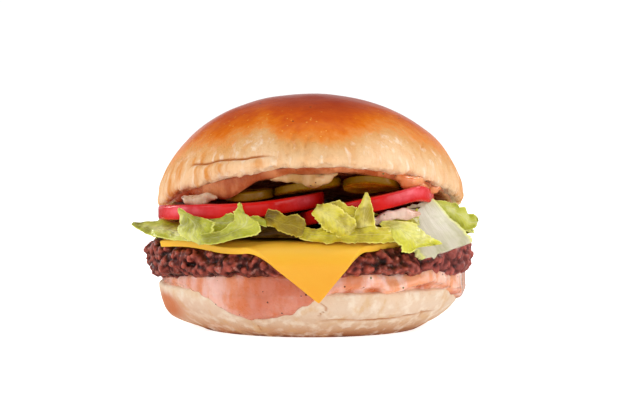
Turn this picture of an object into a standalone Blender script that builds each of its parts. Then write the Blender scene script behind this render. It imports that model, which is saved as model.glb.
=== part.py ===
"""Cheeseburger, built up from its layers as separate closed solids.

From the bottom: heel of the bun, burger sauce, ground-beef patty, a slice of processed cheese laid
corner first, a bed of torn lettuce, tomato slices, pickle slices, more sauce, and the bun's crown,
which the filling props open towards the front. Units are metres, +Z is up, the front is -Y and the
burger stands on Z = 0 with the heel's middle at the origin.
"""

import math
from collections import namedtuple

import bmesh
import bpy
from mathutils import Euler, Matrix, Vector

MM = 0.001
GAP = 0.4 * MM  # air left between two solids that rest on each other

# Bun
BUN_RADIUS = 53.6 * MM
AROUND = 36  # facets round the bun, the sauces and the patty
CROWN_TOP = 81.2 * MM
CROWN_HEIGHT = 39.8 * MM  # from the cut face at the sides to the top
CROWN_FACE = CROWN_TOP - CROWN_HEIGHT
CROWN_FRONT_LIFT = 14.6 * MM  # how far the filling props the front of the cut face
CROWN_BACK_DROP = 1.2 * MM
CROWN_DOMING = 7.8 * MM  # rise of the cut face from its rim to its middle, over the front filling
CROWN_BACK_DOMING = 2.6 * MM
CROWN_ROLL = 0.02  # the cut face is a little higher at +X
CROWN_REACH = 50 * MM
CROWN_SAG = 0.9 * MM  # the rim hangs lower at the left of the front
CROWN_SAG_X = -33 * MM
CROWN_SAG_WIDTH = 17 * MM
CROWN_LEAN = 3 * MM  # the top sits this far back of the middle
CROWN_FACE_SHARES = (0.0, 0.3, 0.56, 0.78, 0.94)  # rings of the cut face, as shares of the radius
CROWN_RIM = ((0.978, 0.9 * MM), (0.994, 2.6 * MM))  # the rounded rim: share of the radius, height
CROWN_TURNS = (5, 14, 24, 34, 44, 54, 64, 74, 83, 90)  # rings of the dome, in degrees up from its middle
HEEL_HEIGHT = 16.6 * MM
HEEL_FOOT_RADIUS = 38 * MM
HEEL_BELLY = 15 * MM  # height where the heel is widest
HEEL_RADIUS = 53 * MM
HEEL_SHOULDER = 3.6 * MM
HEEL_ROUNDING = 1.85  # power of the curve from the belly in to the foot
HEEL_RINGS = (16.3, 15.6, 14.2, 11.8, 9.0, 6.2, 3.6, 1.5, 0.0)  # heights of the side's rings, in millimetres
HEEL_FULLNESS = 2.6 * MM  # the side is rounder at the left
HEEL_FULLNESS_HEIGHT = 6 * MM
HEEL_FULLNESS_REACH = 4 * MM
HEEL_FULLNESS_SPREAD = 25  # degrees
LEFT = 180  # azimuth in degrees

# Lower sauce
LOWER_SAUCE_THICKNESS = 0.8 * MM
LOWER_SAUCE_DROP = 2.4 * MM  # how far it has run down the heel everywhere
LOWER_SAUCE_HELD = 1.4 * MM  # how much less at the left, where it stays back
LOWER_SAUCE_BULGE = 1.3 * MM
LOWER_SAUCE_EDGE = (46 * MM, 49.5 * MM, 53 * MM)  # rings under the patty's edge
LOWER_SAUCE_EDGE_HELD = (0.0, 1 * MM, 2.6 * MM)  # how much further in they are at the left
LOWER_SAUCE_SHARES = (0.03, 0.11, 0.32, 0.66, 1.0)  # rings down the heel's side, as shares of the drop
BEAD_AZIMUTH = -50  # degrees
BEAD_SPREAD = 30
BEAD_THICKNESS = 2.6 * MM
HELD_SPREAD = 32  # degrees either side of the left, where the sauce stays back

# Meat and cheese
PATTY_BOTTOM = 18.2 * MM
PATTY_TOP = 30.2 * MM
PATTY_RADIUS = 57.2 * MM
PATTY_LUMP = 1.1 * MM
PATTY_LIFT = 1.4 * MM  # sauce under the patty's edge lifts it, most at the front
PATTY_FRONT_LIFT = 3.2 * MM
PATTY_FLAT_RADIUS = 0.8 * PATTY_RADIUS  # the underside is flat out to here
PATTY_FACE_SHARES = (0.0, 0.5, 0.8, 0.92)
PATTY_TURNS = (60, 32, 6, -20, -48, -72)  # rings of the rounded side, in degrees up from its middle
PATTY_WAVES = (0.5, 0.2, 0.3, 0.2, 0.3, 0.4, 0.2, 0.5, 0.4, 0.6, 0.5)
CHEESE_SIDE = 68 * MM
CHEESE_THICKNESS = 2.3 * MM
CHEESE_UNDER = PATTY_TOP + GAP
CHEESE_TURN = math.radians(6)  # of the slice's diagonal away from the front
CHEESE_TIP = Vector((2.7 * MM, -74.2 * MM))  # the front corner, before it hangs down
CHEESE_FOLD = 53.8 * MM  # distance of the front fold from the middle
CHEESE_BEND = 5.8 * MM
CHEESE_HANG = math.radians(86)
CHEESE_SAG_FROM = 52 * MM  # past this distance from the middle the slice bends down with the patty's edge
CHEESE_SAG = 20  # metres of drop a square metre

# Filling
TOMATO_THICKNESS = 4.9 * MM
TOMATO_CLEAR = 0.3 * MM
TOMATO_RIDE = 2.9 * MM  # how far the left front slice rides up over its neighbour
TOMATO_RIDE_FROM = -22 * MM
TOMATO_RIDE_LENGTH = 26 * MM
PICKLE_TIP = 0.05  # the left pickle tips forwards
PICKLE_TIP_FROM = -41.2 * MM
PICKLE_DROOP = 0.16  # the right pickle's back hangs down where it is not stuck to the crown
PICKLE_DROOP_FROM = -43.6 * MM
PICKLE_STUCK_FROM = 29 * MM
PICKLE_STUCK_LENGTH = 18 * MM
BED_RADIUS = 54.6 * MM
BED_SHARES = (0.0, 0.34, 0.6, 0.78, 0.9, 0.955, 0.982)
BED_REACH = 0.09  # the bed reaches out further at the front left
BED_REACH_AZIMUTH = -127  # degrees
BED_REACH_SPREAD = 24
BED_CLEAR = 1.1 * MM
BED_STAND = 4 * MM  # how far its edge can stand up past the tomato slices
UPPER_SAUCE_RADIUS = 48 * MM
UPPER_SAUCE_THICKNESS = 0.8 * MM
UPPER_SAUCE_SHARES = (0.0, 0.35, 0.65, 0.85, 1.0)

Disc = namedtuple("Disc", "name x y radius thickness")
Rest = namedtuple("Rest", "height x y slope_x slope_y")
Petal = namedtuple("Petal", "x y z length width thickness turn lean roll")
Run = namedtuple("Run", "azimuth spread drop")
Reach = namedtuple("Reach", "azimuth spread share")
Lump = namedtuple("Lump", "x y width depth thickness")

TOMATOES = (
    Disc("tomato_front_left", -23 * MM, -22.5 * MM, 28 * MM, TOMATO_THICKNESS),
    Disc("tomato_front_right", 18 * MM, -27 * MM, 23.5 * MM, TOMATO_THICKNESS),
    Disc("tomato_back_left", -17 * MM, 26.5 * MM, 20 * MM, TOMATO_THICKNESS),
    Disc("tomato_back_right", 25 * MM, 19 * MM, 20 * MM, TOMATO_THICKNESS),
)
PICKLES = (
    Disc("pickle_left", -20.5 * MM, -33 * MM, 8.2 * MM, 3.0 * MM),
    Disc("pickle_middle", -1 * MM, -33.4 * MM, 11.2 * MM, 2.6 * MM),
    Disc("pickle_right", 20.4 * MM, -34 * MM, 9.6 * MM, 2.4 * MM),
)
# The sloping planes that slices lie on: their height over one place, and how they rise along X and Y.
RESTS = {
    "tomato_front_left": Rest(38.6 * MM, -50 * MM, -25 * MM, 0.03, -0.035),
    "tomato_front_right": Rest(36.7 * MM, -1 * MM, -25 * MM, 0.225, -0.035),
    "tomato_back_left": Rest(36.9 * MM, 0, 0, 0, 0),
    "tomato_back_right": Rest(36.9 * MM, 0, 0, 0, 0),
    "pickle_middle": Rest(48.4 * MM, -2 * MM, -33 * MM, 0.16, -0.09),
}
# Thicker places of the upper sauce, in millimetres.
UPPER_SAUCE_LUMPS = (
    Lump(-43, -28, 6, 8, 1.1),
    Lump(-35, -37, 6, 5, 2.2),
    Lump(36, -34, 5, 5, 0.9),
)
# Where it spreads further: azimuth and spread in degrees, share of the radius.
UPPER_SAUCE_REACHES = (Reach(-48, 16, 0.06), Reach(-138, 20, 0.05))
# Places in millimetres, angles in degrees: turn about Z, lean of the leaf's face from upright, roll.
LEAVES = (
    Petal(-48, -21, 35.8, 28, 13, 3.4, 8, 84, 6),
    Petal(-37.6, -49.6, 37.8, 12, 11, 2.8, -37, 8, 10),
    Petal(-25, -55.0, 38.0, 18, 12, 2.6, -14, 4, -10),
    Petal(-9, -53.4, 38.2, 15, 9.5, 3.2, 2, 8, 8),
    Petal(9.5, -53.6, 39.0, 16, 10, 3.2, -2, 12, -6),
    Petal(20, -52.8, 39.6, 12, 11, 2.8, 16, 6, 20),
    Petal(32, -47.5, 37.4, 17, 9, 3.2, 32, 22, -12),
    Petal(54, -12, 37.0, 15, 11, 2.8, 76, 56, 6),
    Petal(55, 14, 36.0, 18, 11, 2.6, 104, 64, -6),
    Petal(44, 36, 35.6, 17, 11, 2.6, 140, 66, 8),
    Petal(14, 54, 35.6, 20, 11, 2.6, 172, 64, -6),
    Petal(-22, 51, 35.4, 18, 11, 2.6, 204, 64, 8),
    Petal(-46, 31, 35.4, 17, 11, 2.6, 238, 66, -8),
    Petal(-54, 5, 35.6, 15, 10, 2.6, 262, 72, 6),
)
RIB_SIZE = Vector((20 * MM, 23 * MM, 2.6 * MM))
RIB_PLACE = Vector((41.5 * MM, -38.9 * MM, 34.6 * MM))
RIB_AZIMUTH = math.radians(-43)
RIB_SLOPE = math.radians(50)
# Where the lower sauce runs down the heel: azimuth and spread in degrees, drop in millimetres.
RUNS = (
    Run(-106, 25, 9.5),
    Run(-138, 15, 3.0),
    Run(-64, 15, 3.6),
    Run(-26, 16, 5.4),
    Run(22, 15, 3.2),
    Run(74, 16, 5.5),
    Run(118, 14, 3.0),
    Run(164, 16, 4.0),
)


def smoothstep(low, high, value):
    """0 below low, 1 above high, and a smooth rise between them."""
    share = min(1.0, max(0.0, (value - low) / (high - low)))
    return share * share * (3 - 2 * share)


def bell(off, spread):
    """1 where there is no offset, falling off smoothly over the spread."""
    return math.exp(-((off / spread) ** 2))


def degrees_from(azimuth, middle):
    """The turn from a middle azimuth in degrees to one in radians, as degrees from -180 to 180."""
    return (math.degrees(azimuth) - middle + 180) % 360 - 180


def wobble(angle, phase, sizes):
    """A closed wavy offset round the axis: the sizes are the heights of its 2nd, 3rd, ... harmonics."""
    return sum(
        size * math.cos(order * angle + phase * order)
        for order, size in enumerate(sizes, start=2)
    )


def finish(name, colour, roughness):
    """The Principled BSDF material of one sub-part. Food has no metallic share."""
    made = bpy.data.materials.new(name)
    made.use_nodes = True
    shader = made.node_tree.nodes["Principled BSDF"]
    shader.inputs["Base Color"].default_value = (*colour, 1.0)
    shader.inputs["Roughness"].default_value = roughness
    shader.inputs["Metallic"].default_value = 0.0
    return made


def solid(name, shape, look, parent):
    """Links the bmesh as one named, smooth-shaded object."""
    bmesh.ops.recalc_face_normals(shape, faces=shape.faces)
    mesh = bpy.data.meshes.new(name)
    shape.to_mesh(mesh)
    shape.free()
    mesh.materials.append(look)
    mesh.shade_smooth()
    mesh.set_sharp_from_angle(angle=math.radians(50))
    part = bpy.data.objects.new(name, mesh)
    part.parent = parent
    bpy.context.collection.objects.link(part)
    return part


def turned(profile, steps=AROUND):
    """A closed body of revolution about Z. The profile's (radius, height) pairs start and end on the axis."""
    shape = bmesh.new()
    points = [shape.verts.new((radius, 0, height)) for radius, height in profile]
    edges = [shape.edges.new(pair) for pair in zip(points, points[1:])]
    bmesh.ops.spin(
        shape,
        geom=points + edges,
        cent=(0, 0, 0),
        axis=(0, 0, 1),
        angle=math.tau,
        steps=steps,
        use_merge=True,
    )
    bmesh.ops.remove_doubles(shape, verts=shape.verts, dist=1e-6)
    return shape


def swept(outline, steps=AROUND):
    """A closed body round Z whose (radius, height) outline, from axis to axis, changes with the azimuth."""
    shape = bmesh.new()
    columns = []
    for step in range(steps):
        azimuth = math.tau * step / steps
        places = [
            (radius * math.cos(azimuth), radius * math.sin(azimuth), height)
            for radius, height in outline(azimuth)
        ]
        columns.append([shape.verts.new(place) for place in places[1:-1]])
    first = shape.verts.new((0, 0, outline(0)[0][1]))
    last = shape.verts.new((0, 0, outline(0)[-1][1]))
    for here, there in zip(columns, columns[1:] + columns[:1]):
        shape.faces.new((first, here[0], there[0]))
        shape.faces.new((last, there[-1], here[-1]))
        for at in range(len(here) - 1):
            shape.faces.new((here[at], here[at + 1], there[at + 1], there[at]))
    return shape


def crown_underside(x, y):
    """Height of the crown's cut face, domed over the filling and propped up at the front."""
    forward = max(0.0, -y) / CROWN_REACH
    inward = max(0.0, 1 - (x * x + y * y) / BUN_RADIUS**2)
    back_share = smoothstep(-22 * MM, 22 * MM, y)
    doming = CROWN_DOMING + (CROWN_BACK_DOMING - CROWN_DOMING) * back_share
    sag = bell(x - CROWN_SAG_X, CROWN_SAG_WIDTH) * smoothstep(18 * MM, 40 * MM, -y)
    return (
        CROWN_FACE
        + CROWN_ROLL * x
        + CROWN_FRONT_LIFT * forward**1.3
        - CROWN_SAG * sag
        - CROWN_BACK_DROP * back_share
        + doming * inward
    )


def heel_side(height):
    """Radius of the heel's side: an elliptic shoulder above the belly, rounding in to the foot below it."""
    if height >= HEEL_BELLY:
        share = min(1.0, (height - HEEL_BELLY) / (HEEL_HEIGHT - HEEL_BELLY))
        return HEEL_RADIUS - HEEL_SHOULDER * (1 - math.sqrt(1 - share * share))
    return HEEL_RADIUS - (HEEL_RADIUS - HEEL_FOOT_RADIUS) * (1 - height / HEEL_BELLY) ** HEEL_ROUNDING


def build_heel(look, parent):
    """The bun's lower half: flat under its middle, its side rounding out to the belly."""
    flat = HEEL_RADIUS - HEEL_SHOULDER
    top = [(share * flat, HEEL_HEIGHT) for share in (0.0, 0.5, 1.0)]
    side = [(heel_side(height * MM), height * MM) for height in HEEL_RINGS]
    foot = [(share * HEEL_FOOT_RADIUS, 0.0) for share in (0.5, 0.0)]
    shape = turned(top + side + foot)
    for point in shape.verts:
        if 0 < point.co.z < HEEL_BELLY:
            off = degrees_from(math.atan2(point.co.y, point.co.x), LEFT)
            fuller = bell(off, HEEL_FULLNESS_SPREAD)
            fuller *= bell(point.co.z - HEEL_FULLNESS_HEIGHT, HEEL_FULLNESS_REACH)
            grown = 1 + HEEL_FULLNESS * fuller / math.hypot(point.co.x, point.co.y)
            point.co.x *= grown
            point.co.y *= grown
    return solid("heel", shape, look, parent)


def sauce_drop(azimuth):
    """How far below the heel's top the lower sauce has run at this azimuth."""
    drop = LOWER_SAUCE_DROP - LOWER_SAUCE_HELD * held(azimuth)
    for run in RUNS:
        drop += run.drop * MM * bell(degrees_from(azimuth, run.azimuth), run.spread)
    return drop


def bead(azimuth):
    """The sauce squeezed out over the heel's rim is fattest at the right of the front: 0 to 1."""
    return bell(degrees_from(azimuth, BEAD_AZIMUTH), BEAD_SPREAD)


def held(azimuth):
    """The sauce stays back under the patty at the left: 0 to 1."""
    return bell(degrees_from(azimuth, LEFT), HELD_SPREAD)


def side_place(height, off):
    """(radius, height) of a point held off the heel's side by a distance square to it."""
    step = 0.05 * MM
    above = heel_side(min(HEEL_HEIGHT, height + step))
    below = heel_side(height - step)
    normal = Vector((2 * step, below - above)).normalized()
    return (heel_side(height) + normal.x * off, height + normal.y * off)


def edge_lift(radius, azimuth):
    """How far the patty's underside is lifted by the sauce under its edge."""
    front = max(0.0, -math.sin(azimuth))
    full = PATTY_LIFT * (1 - held(azimuth)) + PATTY_FRONT_LIFT * front**2
    return full * smoothstep(PATTY_FLAT_RADIUS, 0.95 * PATTY_RADIUS, radius)


def build_lower_sauce(look, parent):
    """Sauce spread on the heel, filling the space under the patty's edge and run down the heel's side."""
    flat = [share * (HEEL_RADIUS - HEEL_SHOULDER) for share in (0.0, 0.5, 1.0)]
    thin = LOWER_SAUCE_THICKNESS

    def outline(azimuth):
        drop = sauce_drop(azimuth)
        inner = [(radius, HEEL_HEIGHT + GAP) for radius in flat]
        outer = [(radius, HEEL_HEIGHT + GAP + thin) for radius in flat[:2]]
        back = held(azimuth)
        for radius, less in zip(LOWER_SAUCE_EDGE, LOWER_SAUCE_EDGE_HELD):
            radius -= less * back
            outer.append((radius, PATTY_BOTTOM + 0.86 * edge_lift(radius, azimuth) - GAP))
        for number, share in enumerate(LOWER_SAUCE_SHARES):
            height = HEEL_HEIGHT - drop * share
            round_out = math.sin(math.pi * min(1.0, 0.3 + 0.6 * share))
            bulge = (LOWER_SAUCE_BULGE + 0.35 * edge_lift(PATTY_RADIUS, azimuth)) * round_out
            bulge += BEAD_THICKNESS * bead(azimuth) * math.sin(math.pi * min(1.0, 0.2 + 0.75 * share)) ** 2
            bulge *= 1 - 0.7 * back
            inner.append(side_place(height, 1.5 * GAP))
            outer.append(side_place(height, 1.5 * GAP + thin + (bulge if number else 0)))
        return inner + outer[::-1]

    return solid("sauce_lower", swept(outline), look, parent)


def build_patty(look, parent):
    """The patty: a ragged disc of ground beef, wider than the bun. Sauce fills the space under its edge."""
    middle = (PATTY_BOTTOM + PATTY_TOP) / 2
    half = (PATTY_TOP - PATTY_BOTTOM) / 2
    top = [(share * PATTY_RADIUS, PATTY_TOP) for share in PATTY_FACE_SHARES]
    side = [
        (
            PATTY_RADIUS * (0.925 + 0.075 * math.cos(turn) ** 0.7),
            middle + half * math.sin(turn) * 0.995,
        )
        for turn in map(math.radians, PATTY_TURNS)
    ]
    bottom = [(radius, PATTY_BOTTOM) for radius, _ in reversed(top)]
    shape = turned(top + side + bottom)
    for point in shape.verts:
        radius = math.hypot(point.co.x, point.co.y)
        azimuth = math.atan2(point.co.y, point.co.x)
        edge = smoothstep(0.8 * PATTY_RADIUS, PATTY_RADIUS, radius)
        lump = wobble(azimuth, 0.7, PATTY_WAVES)
        ripple = math.cos(9 * azimuth + 700 * point.co.z) + 0.8 * math.cos(14 * azimuth - 1100 * point.co.z)
        grown = radius + edge * PATTY_LUMP * (0.28 * lump + 0.3 * ripple)
        if radius > 0:
            point.co.x *= grown / radius
            point.co.y *= grown / radius
        if point.co.z > middle:
            point.co.z -= 0.35 * MM * edge * (1 + math.cos(11 * azimuth + 1.3))
        else:
            below = (middle - point.co.z) / half
            point.co.z += below * edge_lift(radius, azimuth)
    return solid("patty", shape, look, parent)


def cheese_corners():
    """The flat slice's front, left, right and back corners."""
    left = Vector((-math.cos(math.radians(45) - CHEESE_TURN), math.sin(math.radians(45) - CHEESE_TURN)))
    right = Vector((left.y, -left.x))
    to_left = left * CHEESE_SIDE
    to_right = right * CHEESE_SIDE
    return CHEESE_TIP, CHEESE_TIP + to_left, CHEESE_TIP + to_right, CHEESE_TIP + to_left + to_right


def drape(x, y):
    """Where a point of the flat slice comes to rest: flat on the patty, its overhanging corners bent down."""
    overhang = max(0.0, math.hypot(x, max(y, -CHEESE_FOLD)) - CHEESE_SAG_FROM)
    place = Vector((x, y, CHEESE_UNDER - CHEESE_SAG * overhang**2))
    forward = -y - CHEESE_FOLD
    if forward > 0:
        angle = min(forward / CHEESE_BEND, CHEESE_HANG)
        straight = forward - angle * CHEESE_BEND
        place.y = -CHEESE_FOLD - CHEESE_BEND * math.sin(angle) - straight * math.cos(angle)
        place.z -= CHEESE_BEND * (1 - math.cos(angle)) + straight * math.sin(angle)
    return place


def between(low, high, count):
    """That many evenly spaced values from low up to, but without, high."""
    return [low + (high - low) * number / count for number in range(count)]


def build_cheese(look, parent):
    """One square slice with a corner to the front, in rows along its fold so that the fold stays clean."""
    front, left, right, back = cheese_corners()
    bend_end = -CHEESE_FOLD - CHEESE_BEND * CHEESE_HANG
    rows = between(front.y, bend_end, 2) + between(bend_end, -CHEESE_FOLD, 5)
    rows += between(-CHEESE_FOLD, left.y, 3) + between(left.y, right.y, 2)
    rows += between(right.y, back.y, 4) + [back.y]
    columns = 9
    shape = bmesh.new()
    grid = []
    for y in rows:
        if y < left.y:
            low = front.lerp(left, (y - front.y) / (left.y - front.y)).x
        else:
            low = left.lerp(back, (y - left.y) / (back.y - left.y)).x
        if y < right.y:
            high = front.lerp(right, (y - front.y) / (right.y - front.y)).x
        else:
            high = right.lerp(back, (y - right.y) / (back.y - right.y)).x
        places = [drape(low + (high - low) * at / columns, y) for at in range(columns + 1)]
        grid.append([shape.verts.new(place) for place in places])
    for here, there in zip(grid, grid[1:]):
        for at in range(columns):
            shape.faces.new((here[at], here[at + 1], there[at + 1], there[at]))
    bmesh.ops.remove_doubles(shape, verts=shape.verts, dist=1e-6)
    part = solid("cheese", shape, look, parent)
    wall = part.modifiers.new("thickness", "SOLIDIFY")
    wall.thickness = CHEESE_THICKNESS
    wall.offset = 1.0
    wall.use_even_offset = True
    return part


def softer_min(first, second, blend=1.0 * MM):
    """The smaller of two heights, rounded where they cross."""
    share = max(0.0, 1 - abs(first - second) / (2 * blend))
    return min(first, second) - blend * share * share / 2


def ceiling(x, y):
    """The lowest the crown and its film of sauce reach, which whatever lies under them stays below."""
    return crown_underside(x, y) - 2 * GAP - UPPER_SAUCE_THICKNESS


def resting(rest, x, y):
    """Height of a sloping plane over a place."""
    return rest.height + rest.slope_x * (x - rest.x) + rest.slope_y * (y - rest.y)


def tomato_underside(name, x, y):
    """The face a tomato slice rests on. The left front one rides up over its neighbour."""
    free = resting(RESTS[name], x, y)
    if name == "tomato_front_left":
        free += TOMATO_RIDE * (max(0.0, x - TOMATO_RIDE_FROM) / TOMATO_RIDE_LENGTH) ** 1.5
    return softer_min(free, ceiling(x, y) - TOMATO_THICKNESS - TOMATO_CLEAR)


def build_slice(disc, underside, look, parent, steps):
    """A round slice whose underside follows a given surface, with softly rounded rims."""
    thickness = disc.thickness
    round_off = 0.35 * thickness
    rings = [(share * disc.radius, 0.0) for share in (0.0, 0.5)]
    rings += [(disc.radius - round_off, 0.0), (disc.radius, round_off), (disc.radius, thickness - round_off)]
    rings += [(disc.radius - round_off, thickness)]
    rings += [(share * disc.radius, thickness) for share in (0.5, 0.0)]
    shape = turned(rings, steps)
    for point in shape.verts:
        point.co.x += disc.x
        point.co.y += disc.y
        point.co.z += underside(disc.name, point.co.x, point.co.y)
    return solid(disc.name, shape, look, parent)


def pickle_underside(name, x, y):
    """The left pickle lies on its tomato, the right one hangs from the crown, the middle one leans."""
    if name == "pickle_left":
        on_tomato = tomato_underside("tomato_front_left", x, y) + TOMATO_THICKNESS + GAP
        return on_tomato + PICKLE_TIP * (y - PICKLE_TIP_FROM)
    if name == "pickle_middle":
        return resting(RESTS[name], x, y)
    droop = PICKLE_DROOP * max(0.0, PICKLE_STUCK_FROM - x) / PICKLE_STUCK_LENGTH
    return ceiling(x, y) - PICKLES[-1].thickness - droop * (y - PICKLE_DROOP_FROM)


def cheese_cover(x, y):
    """1 over the flat part of the cheese, falling to 0 some millimetres past its edges."""
    front, left, right, _ = cheese_corners()
    off = Vector((x, y)) - front
    share = 1.0
    for edge in (left - front, right - front):
        along = off.dot(edge.normalized())
        outside = max(-along, along - CHEESE_SIDE)
        share = min(share, 1 - smoothstep(4 * MM, 11 * MM, outside))
    return share


def bed_underside(x, y):
    """The lettuce bed rests on the cheese, and past the cheese on the patty."""
    on_patty = PATTY_TOP + GAP
    on_cheese = CHEESE_UNDER + CHEESE_THICKNESS + 2.5 * GAP
    return on_patty + (on_cheese - on_patty) * cheese_cover(x, y)


def bed_top(x, y):
    """The lettuce bed fills the space up to the tomato slices."""
    left = tomato_underside("tomato_front_left", x, min(y, 5 * MM))
    right = tomato_underside("tomato_front_right", max(x, -5 * MM), min(y, -5 * MM))
    right += max(0.0, -6 * MM - x) * 0.9
    front = min(left, right)
    back = tomato_underside("tomato_back_left", x, y)
    share = smoothstep(-14 * MM, -4 * MM, y)
    return min(front, front + (back - front) * share, ceiling(x, y)) - GAP - BED_CLEAR


def bed_rise(x, y):
    """Past the tomato slices the lettuce stands up to the crown: how much of that height it has taken."""
    clear = min(math.hypot(x - disc.x, y - disc.y) - disc.radius for disc in TOMATOES)
    outer = smoothstep(0.965 * BED_RADIUS, 0.98 * BED_RADIUS, math.hypot(x, y))
    return outer * smoothstep(0.8 * MM, 1.8 * MM, clear)


def bed_body():
    """The lettuce between the cheese and the tomato, a wavy-edged disc."""
    top = [(share * BED_RADIUS, 1.0) for share in BED_SHARES]
    bottom = [(radius, 0.0) for radius, _ in reversed(top)]
    shape = turned(top + [(BED_RADIUS, 0.5)] + bottom)
    for point in shape.verts:
        share = point.co.z
        azimuth = math.atan2(point.co.y, point.co.x)
        swell = 1 + 0.012 * wobble(azimuth, 1.9, (0.2, 0.3, 0.3, 0.2, 0.4, 0.3))
        swell += BED_REACH * bell(degrees_from(azimuth, BED_REACH_AZIMUTH), BED_REACH_SPREAD)
        point.co.x *= swell
        point.co.y *= swell
        low = bed_underside(point.co.x, point.co.y)
        high = bed_top(point.co.x, point.co.y)
        room = max(0.0, ceiling(point.co.x, point.co.y) - 0.6 * MM - high)
        high += bed_rise(point.co.x, point.co.y) * min(room, BED_STAND)
        point.co.z = low + (high - low) * share
    return shape


def petal_body(petal, number):
    """One torn piece of leaf that shows at the edge: a curled plate with a frilled outline."""
    shape = bmesh.new()
    bmesh.ops.create_uvsphere(shape, u_segments=10, v_segments=5, radius=0.5)
    upright = Matrix.Rotation(math.radians(90), 3, "X")
    bmesh.ops.rotate(shape, cent=(0, 0, 0), matrix=upright, verts=shape.verts)
    for point in shape.verts:
        around = math.atan2(point.co.z, point.co.x)
        frill = 1 + 0.09 * wobble(around, number, (0.4, 0.8, 0.3, 0.9))
        x = point.co.x * petal.length * MM * frill
        z = point.co.z * petal.width * MM * frill
        curl = 9 * x * x - 0.5 * MM * math.cos(3 * around + number) * smoothstep(0.2, 0.5, abs(point.co.x))
        point.co = Vector((x, point.co.y * petal.thickness * MM + curl, z))
    lean = Euler((math.radians(petal.lean), 0, 0)).to_matrix()
    roll = Euler((0, math.radians(petal.roll), 0)).to_matrix()
    turn = Euler((0, 0, math.radians(petal.turn))).to_matrix()
    bmesh.ops.transform(shape, matrix=(turn @ lean @ roll).to_4x4(), verts=shape.verts)
    bmesh.ops.translate(shape, vec=Vector((petal.x, petal.y, petal.z)) * MM, verts=shape.verts)
    return shape


def rib_body(extra=0.0):
    """The thick white rib of a leaf, a bent slab leaning out over the patty at the right front."""
    shape = bmesh.new()
    bmesh.ops.create_cube(shape, size=1.0)
    size = RIB_SIZE + Vector((extra, extra, extra))
    bmesh.ops.scale(shape, vec=size, verts=shape.verts)
    bmesh.ops.subdivide_edges(shape, edges=shape.edges, cuts=3, use_grid_fill=True)
    for point in shape.verts:
        point.co.z -= 12 * point.co.x**2
    slope = Matrix.Rotation(RIB_SLOPE, 4, "X")
    face = Matrix.Rotation(RIB_AZIMUTH + math.radians(90), 4, "Z")
    bmesh.ops.transform(shape, matrix=face @ slope, verts=shape.verts)
    bmesh.ops.translate(shape, vec=RIB_PLACE, verts=shape.verts)
    return shape


def as_cutter(part):
    """Keeps a solid that a Boolean uses out of the finished part."""
    part.hide_render = True
    part.display_type = "WIRE"
    return part


def build_lettuce(look, parent):
    """The bed and the pieces of leaf that stick out of it, one heap with a notch where the rib lies."""
    bed = solid("lettuce", bed_body(), look, parent)
    for number, petal in enumerate(LEAVES, start=1):
        join = bed.modifiers.new(f"leaf {number}", "BOOLEAN")
        join.operation = "UNION"
        join.object = as_cutter(solid(f"leaf_{number}", petal_body(petal, number), look, parent))
    notch = bed.modifiers.new("notch", "BOOLEAN")
    notch.operation = "DIFFERENCE"
    notch.object = as_cutter(solid("rib_notch", rib_body(2.5 * GAP), look, parent))
    return bed


def build_rib(look, parent):
    """The rib itself, in its notch."""
    return solid("lettuce_rib", rib_body(), look, parent)


def upper_sauce_thickness(x, y):
    """Thickness of the sauce under the crown: a film with some lumps."""
    thickness = UPPER_SAUCE_THICKNESS
    for lump in UPPER_SAUCE_LUMPS:
        share = bell(x / MM - lump.x, lump.width) * bell(y / MM - lump.y, lump.depth)
        thickness += lump.thickness * MM * share
    return thickness


def build_upper_sauce(look, parent):
    """Sauce on the crown's cut face, thicker at the left and the right of the front."""

    def outline(azimuth):
        swell = 1 + 0.015 * wobble(azimuth, 0.4, (0.5, 0.6, 0.4, 0.6, 0.5))
        for reach in UPPER_SAUCE_REACHES:
            swell += reach.share * bell(degrees_from(azimuth, reach.azimuth), reach.spread)
        over = []
        under = []
        for share in UPPER_SAUCE_SHARES:
            radius = share * UPPER_SAUCE_RADIUS * swell
            x = radius * math.cos(azimuth)
            y = radius * math.sin(azimuth)
            top = crown_underside(x, y) - GAP
            over.append((radius, top))
            under.append((radius * 0.992, top - upper_sauce_thickness(x, y)))
        return over + under[::-1]

    return solid("sauce_upper", swept(outline), look, parent)


def build_crown(look, parent):
    """The bun's domed upper half. Heights are measured from its cut face, which the filling has bent."""
    face = [(share * BUN_RADIUS, 0.0) for share in CROWN_FACE_SHARES]
    rim = [(share * BUN_RADIUS, height) for share, height in CROWN_RIM]
    dome = [
        (BUN_RADIUS * math.cos(turn), CROWN_HEIGHT * math.sin(turn))
        for turn in map(math.radians, CROWN_TURNS)
    ]
    dome[-1] = (0.0, CROWN_HEIGHT)
    shape = turned(face + rim + dome)
    for point in shape.verts:
        height = point.co.z
        share = height / CROWN_HEIGHT
        base = crown_underside(point.co.x, point.co.y)
        rim_base = base if height == 0 else crown_underside(*rim_below(point.co))
        point.co.z = rim_base + share * (CROWN_TOP - rim_base)
        point.co.y += CROWN_LEAN * share**2
    return solid("crown", shape, look, parent)


def rim_below(place):
    """The point of the bun's rim straight out from a place above it."""
    flat = Vector((place.x, place.y))
    if flat.length < 1e-6:
        return Vector((0.0, BUN_RADIUS))
    return flat.normalized() * BUN_RADIUS


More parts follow.
